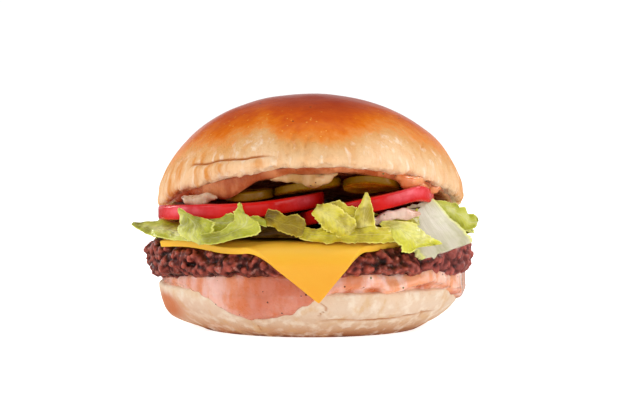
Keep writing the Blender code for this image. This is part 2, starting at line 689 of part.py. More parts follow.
def main():
    """Clears the scene and builds the burger from the bottom up."""
    for old in list(bpy.data.objects):
        bpy.data.objects.remove(old)
    burger = bpy.data.objects.new("burger", None)
    bpy.context.collection.objects.link(burger)

    bread = finish("bun crust", (0.60, 0.26, 0.07), 0.35)
    crumb = finish("bun side", (0.76, 0.56, 0.36), 0.6)
    meat = finish("beef", (0.12, 0.045, 0.03), 0.5)
    slice_yellow = finish("cheese", (0.87, 0.50, 0.08), 0.35)
    leaf_green = finish("lettuce leaf", (0.47, 0.50, 0.10), 0.4)
    rib_white = finish("lettuce rib", (0.78, 0.78, 0.62), 0.35)
    tomato_red = finish("tomato", (0.62, 0.02, 0.01), 0.2)
    pickle_olive = finish("pickle", (0.22, 0.16, 0.02), 0.25)
    sauce_pink = finish("burger sauce", (0.80, 0.33, 0.20), 0.3)

    build_heel(crumb, burger)
    build_lower_sauce(sauce_pink, burger)
    build_patty(meat, burger)
    build_cheese(slice_yellow, burger)
    build_lettuce(leaf_green, burger)
    build_rib(rib_white, burger)
    for disc in TOMATOES:
        build_slice(disc, tomato_underside, tomato_red, burger, 28)
    for disc in PICKLES:
        build_slice(disc, pickle_underside, pickle_olive, burger, 18)
    build_upper_sauce(sauce_pink, burger)
    build_crown(bread, burger)


main()
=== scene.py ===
"""Looks of the cheeseburger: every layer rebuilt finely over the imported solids, and a plain white studio.

Shapes are worked out in millimetres, with the heel's middle at the origin, +Z up and the front at -Y, and
are scaled to metres when a piece is settled.
"""

import logging
import math
import random
from collections.abc import Callable, Sequence
from dataclasses import dataclass, field
from enum import Enum

import bmesh
import bpy
from mathutils import Matrix, Vector, noise


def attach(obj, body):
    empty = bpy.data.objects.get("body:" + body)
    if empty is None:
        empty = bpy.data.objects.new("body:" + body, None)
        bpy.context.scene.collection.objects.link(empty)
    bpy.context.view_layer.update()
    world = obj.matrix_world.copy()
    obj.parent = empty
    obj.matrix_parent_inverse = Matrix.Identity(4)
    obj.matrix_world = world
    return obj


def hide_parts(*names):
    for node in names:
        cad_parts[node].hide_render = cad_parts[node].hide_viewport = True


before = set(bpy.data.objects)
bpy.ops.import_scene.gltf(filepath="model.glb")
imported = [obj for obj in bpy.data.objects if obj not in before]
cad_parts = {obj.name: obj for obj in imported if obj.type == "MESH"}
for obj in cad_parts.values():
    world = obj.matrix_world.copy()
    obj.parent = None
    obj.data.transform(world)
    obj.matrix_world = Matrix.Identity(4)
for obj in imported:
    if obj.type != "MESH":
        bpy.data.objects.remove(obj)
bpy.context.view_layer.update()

LOG = logging.getLogger("cheeseburger")
MM = 0.001
GAP = 0.4  # air between two layers, in mm

Colour = tuple[float, float, float, float]
Point = tuple[float, float, float]
Profile = list[tuple[float, float]]
Stops = Sequence[tuple[float, Colour]]
Shape = bmesh.types.BMesh


# ---------------------------------------------------------------------------------------------------
# Small tools
# ---------------------------------------------------------------------------------------------------


def srgb(red: int, green: int, blue: int) -> Colour:
    """The linear colour of an 8-bit display colour."""
    linear = []
    for value in (red, green, blue):
        share = value / 255
        linear.append(share / 12.92 if share <= 0.04045 else ((share + 0.055) / 1.055) ** 2.4)
    return (linear[0], linear[1], linear[2], 1.0)


def smoothstep(low: float, high: float, value: float) -> float:
    """0 below low, 1 above high, and a smooth rise between them."""
    share = min(1.0, max(0.0, (value - low) / (high - low)))
    return share * share * (3 - 2 * share)


def hump(value: float, middle: float, spread: float) -> float:
    """A bell curve of height 1."""
    return math.exp(-(((value - middle) / spread) ** 2))


def turn_from(azimuth: float, middle: float) -> float:
    """The signed angle in degrees from middle to azimuth, between -180 and 180."""
    return (azimuth - middle + 180) % 360 - 180


def azimuth_of(place: Vector) -> float:
    """The angle round the burger in degrees: -90 is the front, 0 the right."""
    return math.degrees(math.atan2(place.y, place.x))


def wander(place: Vector, size: float, seed: int) -> float:
    """Smooth noise between about -1 and 1 whose bumps are `size` mm apart.

    Args:
        place: Where to read it, in mm.
        size: Distance between bumps, in mm.
        seed: Picks one of many independent fields.

    Returns:
        The noise's value.
    """
    return noise.noise(place / size + Vector((13.7, 7.3, 3.1)) * seed)


def between(low: float, high: float, count: int) -> list[float]:
    """count + 1 evenly spaced values from low to high."""
    return [low + (high - low) * number / count for number in range(count + 1)]


def along(values: Sequence[float], at: float) -> float:
    """Reads a row of values at a share from 0 to 1 of its length, on a smooth curve through them."""
    last = len(values) - 1
    position = min(max(at, 0.0), 1.0) * last
    index = min(int(position), last - 1)
    share = position - index
    before, start, end, after = (values[min(max(index + step, 0), last)] for step in (-1, 0, 1, 2))
    return 0.5 * (
        2 * start
        + (end - before) * share
        + (2 * before - 5 * start + 4 * end - after) * share**2
        + (3 * start - before - 3 * end + after) * share**3
    )


# ---------------------------------------------------------------------------------------------------
# Making pieces
# ---------------------------------------------------------------------------------------------------


def turned(profile: Profile, steps: int, sectors: int = 12) -> Shape:
    """Spins a (radius, height) profile, from axis to axis, about Z.

    Args:
        profile: The outline in mm.
        steps: Faces round the shape, a multiple of sectors.
        sectors: The profile is spun through one sector, which is then repeated round the axis.

    Returns:
        The closed shape.
    """
    shape = bmesh.new()
    points = [shape.verts.new((radius, 0, height)) for radius, height in profile]
    edges = [shape.edges.new(pair) for pair in zip(points, points[1:])]
    about = {"cent": (0, 0, 0), "axis": (0, 0, 1)}
    bmesh.ops.spin(shape, geom=points + edges, angle=math.tau / sectors, steps=steps // sectors, **about)
    sector = shape.verts[:] + shape.edges[:] + shape.faces[:]
    bmesh.ops.spin(
        shape, geom=sector, angle=math.tau * (sectors - 1) / sectors, steps=sectors - 1, use_duplicate=True, **about
    )
    bmesh.ops.remove_doubles(shape, verts=shape.verts, dist=1e-4)
    bmesh.ops.recalc_face_normals(shape, faces=shape.faces)
    return shape


def swell(shape: Shape, amount: Callable[[bmesh.types.BMVert], float]) -> None:
    """Moves each vertex along its normal by its own amount, in mm."""
    shape.normal_update()
    offsets = [amount(point) for point in shape.verts]
    for point, offset in zip(shape.verts, offsets):
        point.co += point.normal * offset
    shape.normal_update()


class Slot(Enum):
    """The record's material slots."""

    CRUST = "bun_crust"
    SIDE = "bun_side"
    SAUCE = "sauce"
    BEEF = "beef"
    CHEESE = "cheese"
    LEAF = "lettuce_leaf"
    RIB = "lettuce_rib"
    TOMATO = "tomato"
    PICKLE = "pickle"


def settle(shape: Shape, name: str, look: bpy.types.Material, slot: Slot, *nodes: str) -> bpy.types.Object:
    """Makes a finished shape a piece in metres that rides on the burger and stands for CAD nodes.

    Args:
        shape: The shape in mm, which is freed.
        name: The piece's name.
        look: Its material.
        slot: The record's slot for that material; not used.
        nodes: The CAD nodes it replaces.

    Returns:
        The piece's object.
    """
    bmesh.ops.scale(shape, vec=(MM, MM, MM), verts=shape.verts)
    mesh = bpy.data.meshes.new(name)
    shape.to_mesh(mesh)
    shape.free()
    mesh.materials.append(look)
    mesh.shade_smooth()
    piece = bpy.data.objects.new(name, mesh)
    bpy.context.scene.collection.objects.link(piece)
    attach(piece, "root")
    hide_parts(*nodes)
    LOG.info("%s: %d faces", name, len(mesh.polygons))
    return piece


# ---------------------------------------------------------------------------------------------------
# Wiring materials
# ---------------------------------------------------------------------------------------------------


class Graph:
    """A node tree that is being wired."""

    def __init__(self, tree: bpy.types.NodeTree) -> None:
        """Starts on an existing tree."""
        self.tree = tree

    def add(self, kind: str, settings: dict | None = None, **inputs: object) -> bpy.types.Node:
        """Adds a node, sets its properties, and fills or links its sockets by name."""
        node = self.tree.nodes.new(kind)
        for key, value in (settings or {}).items():
            setattr(node, key, value)
        for key, value in inputs.items():
            self.put(node.inputs[key.replace("_", " ")], value)
        return node

    def put(self, socket: bpy.types.NodeSocket, value: object) -> None:
        """Links an output to the socket, or sets the socket's own value."""
        if isinstance(value, bpy.types.NodeSocket):
            self.tree.links.new(value, socket)
        else:
            socket.default_value = value

    def place(self) -> bpy.types.NodeSocket:
        """The point on the piece, in metres."""
        return self.add("ShaderNodeTexCoord").outputs["Object"]

    def attribute(self, name: str) -> bpy.types.NodeSocket:
        """A number stored on the piece's vertices."""
        return self.add("ShaderNodeAttribute", {"attribute_name": name}).outputs["Fac"]

    def math(self, operation: str, first: object, second: object = 0.0) -> bpy.types.NodeSocket:
        """One sum, product or other operation on two values."""
        node = self.add("ShaderNodeMath", {"operation": operation})
        self.put(node.inputs[0], first)
        self.put(node.inputs[1], second)
        return node.outputs[0]

    def stretch(self, value: object, low: float, high: float, bottom: float = 0.0, top: float = 1.0) -> bpy.types.NodeSocket:
        """Takes low..high smoothly to bottom..top, clamped."""
        node = self.add("ShaderNodeMapRange", {"interpolation_type": "SMOOTHSTEP"})
        for socket, number in zip(node.inputs[:5], (value, low, high, bottom, top)):
            self.put(socket, number)
        return node.outputs[0]

    def mix(self, share: object, first: object, second: object, blend: str = "MIX") -> bpy.types.NodeSocket:
        """A colour between two colours."""
        node = self.add("ShaderNodeMix", {"data_type": "RGBA", "blend_type": blend})
        self.put(node.inputs[0], share)
        self.put(node.inputs[6], first)
        self.put(node.inputs[7], second)
        return node.outputs[2]

    def ramp(self, value: object, stops: Stops) -> bpy.types.NodeSocket:
        """A colour picked along a row of coloured stops."""
        node = self.add("ShaderNodeValToRGB", Fac=value)
        elements = node.color_ramp.elements
        while len(elements) < len(stops):
            elements.new(0.5)
        for element, (position, colour) in zip(elements, stops):
            element.position = position
            element.color = colour
        return node.outputs["Color"]

    def noise(self, vector: object, per_metre: float, detail: float = 3.0, distortion: float = 0.0) -> bpy.types.NodeSocket:
        """Noise from 0 to 1."""
        node = self.add(
            "ShaderNodeTexNoise", Vector=vector, Scale=per_metre, Detail=detail, Roughness=0.55, Distortion=distortion
        )
        return node.outputs["Fac"]

    def scaled(self, vector: object, scale: Point) -> bpy.types.NodeSocket:
        """The vector with each axis scaled, so that a pattern is drawn out."""
        return self.add("ShaderNodeMapping", Vector=vector, Scale=scale).outputs["Vector"]

    def group(self, tree: bpy.types.NodeTree, **inputs: object) -> bpy.types.Node:
        """Places a shared node group."""
        node = self.tree.nodes.new("ShaderNodeGroup")
        node.node_tree = tree
        for key, value in inputs.items():
            self.put(node.inputs[key.replace("_", " ")], value)
        return node

    def bump(self, height: object, depth: float, strength: object = 1.0) -> bpy.types.NodeSocket:
        """A normal from a height of 0 to 1 that stands for depth in mm."""
        return self.add("ShaderNodeBump", Height=height, Distance=depth * MM, Strength=strength).outputs["Normal"]


class Effects:
    """The node groups that several finishes share, each built once."""

    def __init__(self) -> None:
        """Builds every group."""
        self.speckle = self._speckle()
        self.mottle = self._mottle()
        self.grain = self._grain()

    @staticmethod
    def _open(name: str, inputs: dict[str, str], output: tuple[str, str]) -> tuple[bpy.types.NodeTree, Graph, bpy.types.Node]:
        """Starts a group with its sockets.

        Args:
            name: The group's name.
            inputs: Socket types by name.
            output: The output's name and type.

        Returns:
            The group, a graph on it, and its input node.
        """
        tree = bpy.data.node_groups.new(name, "ShaderNodeTree")
        for key, kind in inputs.items():
            tree.interface.new_socket(key, in_out="INPUT", socket_type=kind)
        tree.interface.new_socket(output[0], in_out="OUTPUT", socket_type=output[1])
        graph = Graph(tree)
        return tree, graph, graph.add("NodeGroupInput")

    def _speckle(self) -> bpy.types.NodeTree:
        """A mask of small separate dots: Size is a dot's share of its cell, Share the part of cells with one."""
        tree, graph, given = self._open(
            "speckle",
            {"Vector": "NodeSocketVector", "Scale": "NodeSocketFloat", "Size": "NodeSocketFloat", "Share": "NodeSocketFloat"},
            ("Mask", "NodeSocketFloat"),
        )
        cells = graph.add("ShaderNodeTexVoronoi", Vector=given.outputs["Vector"], Scale=given.outputs["Scale"])
        near = graph.math("LESS_THAN", cells.outputs["Distance"], given.outputs["Size"])
        tint = graph.add("ShaderNodeSeparateColor", Color=cells.outputs["Color"])
        chosen = graph.math("LESS_THAN", tint.outputs[0], given.outputs["Share"])
        graph.add("NodeGroupOutput", Mask=graph.math("MULTIPLY", near, chosen))
        return tree

    def _mottle(self) -> bpy.types.NodeTree:
        """Two colours in soft uneven patches."""
        tree, graph, given = self._open(
            "mottle",
            {"Vector": "NodeSocketVector", "Scale": "NodeSocketFloat", "First": "NodeSocketColor", "Second": "NodeSocketColor"},
            ("Color", "NodeSocketColor"),
        )
        patches = graph.noise(given.outputs["Vector"], given.outputs["Scale"], 4.0)
        share = graph.stretch(patches, 0.34, 0.66)
        graph.add("NodeGroupOutput", Color=graph.mix(share, given.outputs["First"], given.outputs["Second"]))
        return tree

    def _grain(self) -> bpy.types.NodeTree:
        """Fine unevenness on two scales, as a height."""
        tree, graph, given = self._open(
            "grain",
            {"Vector": "NodeSocketVector", "Scale": "NodeSocketFloat"},
            ("Height", "NodeSocketFloat"),
        )
        broad = graph.noise(given.outputs["Vector"], given.outputs["Scale"], 2.0)
        finer = graph.math("MULTIPLY", given.outputs["Scale"], 4.0)
        fine = graph.noise(given.outputs["Vector"], finer, 3.0)
        graph.add("NodeGroupOutput", Height=graph.math("ADD", graph.math("MULTIPLY", broad, 0.7), graph.math("MULTIPLY", fine, 0.3)))
        return tree


@dataclass(frozen=True)
class Finish:
    """What every finish sets on its shader. The subsurface reach is in mm."""

    name: str
    effects: Effects
    roughness: float = 0.5
    specular: float = 0.4
    coat: float = 0.0
    coat_roughness: float = 0.2
    subsurface: float = 0.0
    reach: float = 1.0
    tint: Point = (1.0, 0.5, 0.25)
    gleam: Colour = (1.0, 1.0, 1.0, 1.0)

    def dress(self) -> bpy.types.Material:
        """Makes the material and wires its colour, roughness and bump."""
        look = bpy.data.materials.new(self.name)
        look.use_nodes = True
        shader = look.node_tree.nodes["Principled BSDF"]
        shader.inputs["Roughness"].default_value = self.roughness
        shader.inputs["Specular IOR Level"].default_value = self.specular
        shader.inputs["Specular Tint"].default_value = self.gleam
        shader.inputs["Coat Weight"].default_value = self.coat
        shader.inputs["Coat Roughness"].default_value = self.coat_roughness
        shader.inputs["Subsurface Weight"].default_value = self.subsurface
        shader.inputs["Subsurface Scale"].default_value = self.reach * MM
        shader.inputs["Subsurface Radius"].default_value = self.tint
        self.wire(Graph(look.node_tree), shader)
        return look

    def wire(self, graph: Graph, shader: bpy.types.Node) -> None:
        """Wires the finish's own pattern. Each finish has its own."""
        raise NotImplementedError

    def dots(self, graph: Graph, place: object, scale: float, size: float, share: float) -> bpy.types.NodeSocket:
        """The mask of the shared speckle group."""
        return graph.group(self.effects.speckle, Vector=place, Scale=scale, Size=size, Share=share).outputs[0]

    def patches(self, graph: Graph, place: object, scale: float, first: object, second: object) -> bpy.types.NodeSocket:
        """The colour of the shared mottle group."""
        return graph.group(self.effects.mottle, Vector=place, Scale=scale, First=first, Second=second).outputs[0]


@dataclass(frozen=True)
class CrustFinish(Finish):
    """Egg-washed bun, pale at the rim, browned and glossy above. Reads rise, crease, toast and pale: crease darkens the
    folds as painted shade, and pale lightens patches on the front that are partly painted highlight.
    """

    stops: Stops = (
        (0.00, srgb(248, 210, 168)),
        (0.20, srgb(234, 190, 140)),
        (0.33, srgb(224, 162, 98)),
        (0.42, srgb(230, 140, 62)),
        (0.53, srgb(222, 110, 0)),
        (0.68, srgb(202, 80, 0)),
        (1.00, srgb(164, 46, 0)),
    )
    cream: Colour = srgb(254, 236, 212)
    golden: Colour = srgb(224, 148, 74)
    crease: Colour = srgb(184, 104, 48)
    # Painted shade: the darker colour laid into the creases, the dent and the pleats
    speck: Colour = srgb(250, 200, 96)
    pepper: Colour = srgb(84, 40, 24)

    def wire(self, graph: Graph, shader: bpy.types.Node) -> None:
        """Browning by height, streaks on the pale side, painted shade in the creases, specks, and a coat on the washed
        part.
        """
        place = graph.place()
        rise = graph.attribute("rise")
        drift = graph.math("SUBTRACT", graph.noise(place, 70.0, 3.0), 0.5)
        drawn = graph.scaled(place, (1.0, 1.0, 0.2))
        streak = graph.noise(drawn, 430.0, 4.0)
        finger = graph.noise(graph.scaled(place, (1.0, 1.0, 0.12)), 190.0, 3.0)
        ragged = graph.math("MULTIPLY", graph.math("SUBTRACT", graph.math("ADD", streak, finger), 1.0), 0.22)
        # pale lowers the browning level in patches on the front; part of this is painted highlight
        faded = graph.math("SUBTRACT", rise, graph.attribute("pale"))
        level = graph.math("ADD", graph.math("ADD", faded, graph.math("MULTIPLY", drift, 0.14)), ragged)
        browned = graph.ramp(level, self.stops)
        pale = graph.stretch(level, 0.43, 0.27)
        streaked = graph.mix(graph.math("MULTIPLY", graph.stretch(streak, 0.5, 0.7, 0.0, 0.75), pale), browned, self.cream)
        golden = graph.stretch(graph.noise(drawn, 260.0, 4.0), 0.44, 0.66, 0.2, 1.0)
        toasted = graph.math("MULTIPLY", graph.math("MULTIPLY", golden, pale), graph.attribute("toast"))
        warmed = graph.mix(toasted, streaked, self.golden)
        # Painted shade: darkens the crust by the crease attribute
        line = graph.mix(graph.stretch(graph.attribute("crease"), 0.1, 0.9), warmed, self.crease)
        brown = graph.stretch(level, 0.36, 0.52)
        near_edge = graph.math("MULTIPLY", graph.stretch(level, 0.9, 0.6), brown)
        bright = graph.math("MULTIPLY", self.dots(graph, place, 620.0, 0.18, 0.3), near_edge)
        specked = graph.mix(graph.math("MULTIPLY", bright, 0.55), line, self.speck)
        dark = self.dots(graph, place, 170.0, 0.08, 0.09)
        graph.put(shader.inputs["Base Color"], graph.mix(dark, specked, self.pepper))
        graph.put(shader.inputs["Roughness"], graph.stretch(level, 0.3, 0.55, 0.6, 0.32))
        graph.put(shader.inputs["Coat Weight"], graph.stretch(rise, 0.3, 0.5, 0.0, 0.1))
        grain = graph.group(self.effects.grain, Vector=place, Scale=500.0).outputs[0]
        height = graph.math("ADD", graph.math("MULTIPLY", grain, 0.5), graph.math("MULTIPLY", streak, 0.5))
        shallow = graph.stretch(level, 0.3, 0.6, 1.0, 0.12)
        graph.put(shader.inputs["Normal"], graph.bump(height, 1.4, shallow))


@dataclass(frozen=True)
class SideFinish(Finish):
    """The heel's soft pale crust. Reads the attributes rise, crease and baked; crease darkens the wrinkles as painted
    shade.
    """

    stops: Stops = (
        (0.00, srgb(140, 72, 32)),
        (0.06, srgb(178, 114, 70)),
        (0.16, srgb(206, 158, 120)),
        (0.32, srgb(218, 185, 154)),
        (0.60, srgb(226, 201, 176)),
        (1.00, srgb(232, 201, 168)),
    )
    cream: Colour = srgb(242, 229, 210)
    golden: Colour = srgb(216, 172, 118)
    # Painted shade: the darker colour laid into the wrinkles
    crease: Colour = srgb(188, 128, 84)
    baked: Colour = srgb(206, 108, 46)

    def wire(self, graph: Graph, shader: bpy.types.Node) -> None:
        """A browned foot under a pale, mottled side, with painted shade in the wrinkles."""
        place = graph.place()
        rise = graph.attribute("rise")
        drift = graph.math("MULTIPLY", graph.math("SUBTRACT", graph.noise(place, 90.0, 3.0), 0.5), 0.2)
        base = graph.ramp(graph.math("ADD", rise, drift), self.stops)
        flecks = graph.stretch(graph.noise(place, 260.0, 4.0), 0.46, 0.68)
        lit = graph.mix(graph.math("MULTIPLY", flecks, 0.6), base, self.cream)
        warm = graph.stretch(graph.noise(graph.scaled(place, (1.0, 1.0, 0.6)), 200.0, 4.0), 0.5, 0.7)
        warmed = graph.mix(graph.math("MULTIPLY", warm, 0.6), lit, self.golden)
        baked = graph.math("ADD", graph.attribute("baked"), graph.math("MULTIPLY", drift, 1.5))
        patched = graph.mix(graph.stretch(baked, 0.1, 0.95, 0.0, 0.9), warmed, self.baked)
        # Painted shade: darkens the side by the crease attribute
        line = graph.mix(graph.stretch(graph.attribute("crease"), 0.15, 1.0), patched, self.crease)
        graph.put(shader.inputs["Base Color"], line)
        grain = graph.group(self.effects.grain, Vector=place, Scale=650.0).outputs[0]
        graph.put(shader.inputs["Normal"], graph.bump(grain, 0.5))


@dataclass(frozen=True)
class SauceFinish(Finish):
    """Pink burger sauce with pepper and herbs. Reads the attribute stain, 1 where it is thin and red."""

    thick: Colour = srgb(255, 216, 202)
    thin: Colour = srgb(242, 162, 116)
    red: Colour = srgb(198, 88, 36)
    pepper: Colour = srgb(92, 48, 30)
    herb: Colour = srgb(122, 112, 66)
    speckle: float = 1.0

    def wire(self, graph: Graph, shader: bpy.types.Node) -> None:
        """Two pinks, a redder thin edge, dark specks and green herbs."""
        place = graph.place()
        base = self.patches(graph, graph.scaled(place, (1.0, 1.0, 0.3)), 220.0, self.thick, self.thin)
        stained = graph.mix(graph.math("MULTIPLY", graph.attribute("stain"), 0.88), base, self.red)
        peppered = graph.mix(self.dots(graph, place, 640.0, 0.2, 0.08 * self.speckle), stained, self.pepper)
        herbed = graph.mix(self.dots(graph, place, 460.0, 0.2, 0.02 * self.speckle), peppered, self.herb)
        graph.put(shader.inputs["Base Color"], herbed)
        grain = graph.group(self.effects.grain, Vector=place, Scale=260.0).outputs[0]
        graph.put(shader.inputs["Roughness"], graph.stretch(grain, 0.35, 0.65, self.roughness - 0.08, self.roughness + 0.12))
        graph.put(shader.inputs["Normal"], graph.bump(grain, 0.5))


@dataclass(frozen=True)
class BeefFinish(Finish):
    """Seared ground beef. Reads the attribute cavity, 0 deep between crumbs and 1 on their crests."""

    # Painted shade: the near black of the pits between crumbs
    pit: Colour = srgb(28, 5, 2)
    body: Colour = srgb(90, 24, 14)
    # Partly the crumbs' own colour, partly painted highlight on their crests
    crest: Colour = srgb(192, 90, 72)
    char: Colour = srgb(38, 9, 5)
    fat: Colour = srgb(208, 144, 130)
    # Lighter and pinker towards the right end
    rare: Colour = srgb(196, 104, 98)

    def wire(self, graph: Graph, shader: bpy.types.Node) -> None:
        """Painted shade in the pits, crests painted paler partly as highlight, brown crumbs with charred and fatty
        patches, and wet highlights.
        """
        place = graph.place()
        cavity = graph.attribute("cavity")
        # Painted shade in the pits and partly painted highlight on the crests, from the cavity attribute
        stops = ((0.0, self.pit), (0.18, self.pit), (0.46, self.body), (0.9, self.crest))
        base = graph.ramp(cavity, stops)
        charred = graph.stretch(graph.noise(place, 140.0, 3.0), 0.46, 0.62)
        darker = graph.mix(graph.math("MULTIPLY", charred, 0.6), base, self.char)
        fatty = graph.stretch(graph.noise(place, 520.0, 4.0), 0.55, 0.7)
        fat_share = graph.math("MULTIPLY", graph.math("MULTIPLY", fatty, cavity), 0.75)
        fatted = graph.mix(fat_share, darker, self.fat)
        # Lighter and pinker towards the right end
        east = graph.add("ShaderNodeSeparateXYZ", Vector=place).outputs[0]
        rarer = graph.math("MULTIPLY", graph.stretch(east, 0.026, 0.048, 0.0, 0.45), cavity)
        graph.put(shader.inputs["Base Color"], graph.mix(rarer, fatted, self.rare))
        wet = graph.noise(place, 300.0, 2.0)
        graph.put(shader.inputs["Roughness"], graph.stretch(wet, 0.4, 0.62, 0.28, 0.62))
        grain = graph.group(self.effects.grain, Vector=place, Scale=900.0).outputs[0]
        graph.put(shader.inputs["Normal"], graph.bump(grain, 0.6))


@dataclass(frozen=True)
class CheeseFinish(Finish):
    """Smooth processed cheese, slightly satin, painted lighter on its top as painted light."""

    body: Colour = srgb(241, 176, 40)
    deeper: Colour = srgb(239, 168, 30)
    upper: Colour = srgb(250, 192, 54)
    speck: Colour = srgb(150, 84, 30)

    def wire(self, graph: Graph, shader: bpy.types.Node) -> None:
        """An almost even yellow with soft clouds, painted lighter towards the top as painted light, and a very fine
        skin.
        """
        place = graph.place()
        even = self.patches(graph, place, 60.0, self.body, self.deeper)
        height = graph.add("ShaderNodeSeparateXYZ", Vector=place).outputs[2]
        # Painted light: the colour lightens with height, so the flat top reads lit and the hanging edge darker
        base = graph.mix(graph.stretch(height, 0.024, 0.032), even, self.upper)
        graph.put(shader.inputs["Base Color"], graph.mix(self.dots(graph, place, 90.0, 0.03, 0.05), base, self.speck))
        cloud = graph.noise(place, 120.0, 3.0)
        graph.put(shader.inputs["Roughness"], graph.stretch(cloud, 0.3, 0.7, 0.34, 0.46))
        grain = graph.group(self.effects.grain, Vector=place, Scale=500.0).outputs[0]
        graph.put(shader.inputs["Normal"], graph.bump(grain, 0.06))


@dataclass(frozen=True)
class LeafFinish(Finish):
    """Lettuce. Reads the attribute tone, 0 on the pale middle and 1 at the frilled edge, and the UV map."""

    middle: Colour = srgb(226, 224, 144)
    blade: Colour = srgb(200, 200, 74)
    edge: Colour = srgb(172, 174, 22)
    shade: Colour = srgb(128, 122, 4)
    vein: Colour = srgb(222, 220, 150)
    rim: Colour = srgb(234, 234, 122)
    veined: float = 1.0
    bumps: float = 0.45
    streaks: float = 0.0

    def wire(self, graph: Graph, shader: bpy.types.Node) -> None:
        """Pale ribs and veins over a blade that greens towards its edge."""
        place = graph.place()
        drift = graph.math("MULTIPLY", graph.math("SUBTRACT", graph.noise(place, 230.0, 4.0), 0.5), 1.3)
        tone = graph.math("ADD", graph.attribute("tone"), drift)
        base = graph.ramp(tone, ((0.0, self.middle), (0.45, self.blade), (0.9, self.edge)))
        shaded = graph.mix(graph.stretch(graph.noise(place, 150.0, 3.0), 0.48, 0.66, 0.0, 0.72), base, self.shade)
        rimmed = graph.mix(graph.stretch(graph.attribute("edge"), 0.84, 0.97, 0.0, 0.75), shaded, self.rim)
        veins = graph.math("MULTIPLY", self.veins(graph, place), self.veined)
        if self.streaks:
            fibres = graph.scaled(graph.add("ShaderNodeTexCoord").outputs["UV"], (2.0, 15.0, 1.0))
            veins = graph.math("MULTIPLY", graph.stretch(graph.noise(fibres, 1.0, 3.0), 0.4, 0.68), self.streaks)
        graph.put(shader.inputs["Base Color"], graph.mix(graph.math("MULTIPLY", veins, 0.4), rimmed, self.vein))
        grain = graph.group(self.effects.grain, Vector=place, Scale=420.0).outputs[0]
        height = graph.math("ADD", graph.math("MULTIPLY", veins, 0.35), graph.math("MULTIPLY", grain, 0.65))
        graph.put(shader.inputs["Normal"], graph.bump(height, self.bumps))

    def veins(self, graph: Graph, place: object) -> bpy.types.NodeSocket:
        """A midrib with side veins that slant from it, drawn along the UV map: U along the leaf, V across."""
        spot = graph.add("ShaderNodeSeparateXYZ", Vector=graph.add("ShaderNodeTexCoord").outputs["UV"])
        off = graph.math("ABSOLUTE", graph.math("SUBTRACT", spot.outputs[1], 0.5))
        wavy = graph.math("MULTIPLY", graph.noise(place, 220.0, 2.0), 1.3)
        slant = graph.math("ADD", graph.math("SUBTRACT", graph.math("MULTIPLY", spot.outputs[0], 8.0), graph.math("MULTIPLY", off, 7.0)), wavy)
        near = graph.math("ABSOLUTE", graph.math("SUBTRACT", graph.math("FRACT", slant), 0.5))
        side = graph.math("MULTIPLY", graph.stretch(near, 0.09, 0.02), graph.stretch(off, 0.46, 0.2))
        return graph.math("MAXIMUM", side, graph.stretch(off, 0.035, 0.01))


@dataclass(frozen=True)
class TomatoFinish(Finish):
    """Tomato. Reads the attributes skin, 1 on the rind, spoke, the place round the slice, and blush, where painted
    highlight lies on the rind.
    """

    skin: Colour = srgb(196, 10, 6)
    skin_light: Colour = srgb(214, 26, 20)
    flesh: Colour = srgb(206, 54, 40)
    pulp: Colour = srgb(222, 96, 62)
    # Painted highlight: the pale pink laid on the rind by the blush attribute
    blush: Colour = srgb(246, 116, 128)

    def wire(self, graph: Graph, shader: bpy.types.Node) -> None:
        """Glossy red skin with pale pink painted highlights, and a cut face with paler walls round the seed chambers.
        """
        place = graph.place()
        rind = self.patches(graph, place, 90.0, self.skin, self.skin_light)
        walls = graph.stretch(graph.attribute("spoke"), 0.2, 0.8)
        face = graph.mix(walls, self.patches(graph, place, 240.0, self.flesh, self.pulp), self.flesh)
        colour = graph.mix(graph.stretch(graph.attribute("skin"), 0.3, 0.7), face, rind)
        uneven = graph.stretch(graph.noise(place, 260.0, 3.0), 0.35, 0.6, 0.5, 1.0)
        # Painted highlight: pale pink on the rind where blush is set
        graph.put(shader.inputs["Base Color"], graph.mix(graph.math("MULTIPLY", graph.attribute("blush"), uneven), colour, self.blush))
        grain = graph.group(self.effects.grain, Vector=place, Scale=300.0).outputs[0]
        graph.put(shader.inputs["Roughness"], graph.stretch(grain, 0.35, 0.65, 0.22, 0.34))
        graph.put(shader.inputs["Normal"], graph.bump(grain, 0.12))


@dataclass(frozen=True)
class PickleFinish(Finish):
    """Pickled cucumber. Reads the attribute skin, 1 on the rind."""

    skin: Colour = srgb(138, 98, 4)
    flesh: Colour = srgb(240, 186, 36)
    core: Colour = srgb(216, 156, 16)

    def wire(self, graph: Graph, shader: bpy.types.Node) -> None:
        """Translucent olive flesh inside a darker bumpy rind."""
        place = graph.place()
        face = self.patches(graph, place, 300.0, self.flesh, self.core)
        colour = graph.mix(graph.stretch(graph.attribute("skin"), 0.3, 0.8), face, self.skin)
        graph.put(shader.inputs["Base Color"], colour)
        grain = graph.group(self.effects.grain, Vector=place, Scale=380.0).outputs[0]
        graph.put(shader.inputs["Roughness"], graph.stretch(grain, 0.35, 0.65, 0.16, 0.3))
        graph.put(shader.inputs["Normal"], graph.bump(grain, 0.3))


# ---------------------------------------------------------------------------------------------------
# Bun
# ---------------------------------------------------------------------------------------------------


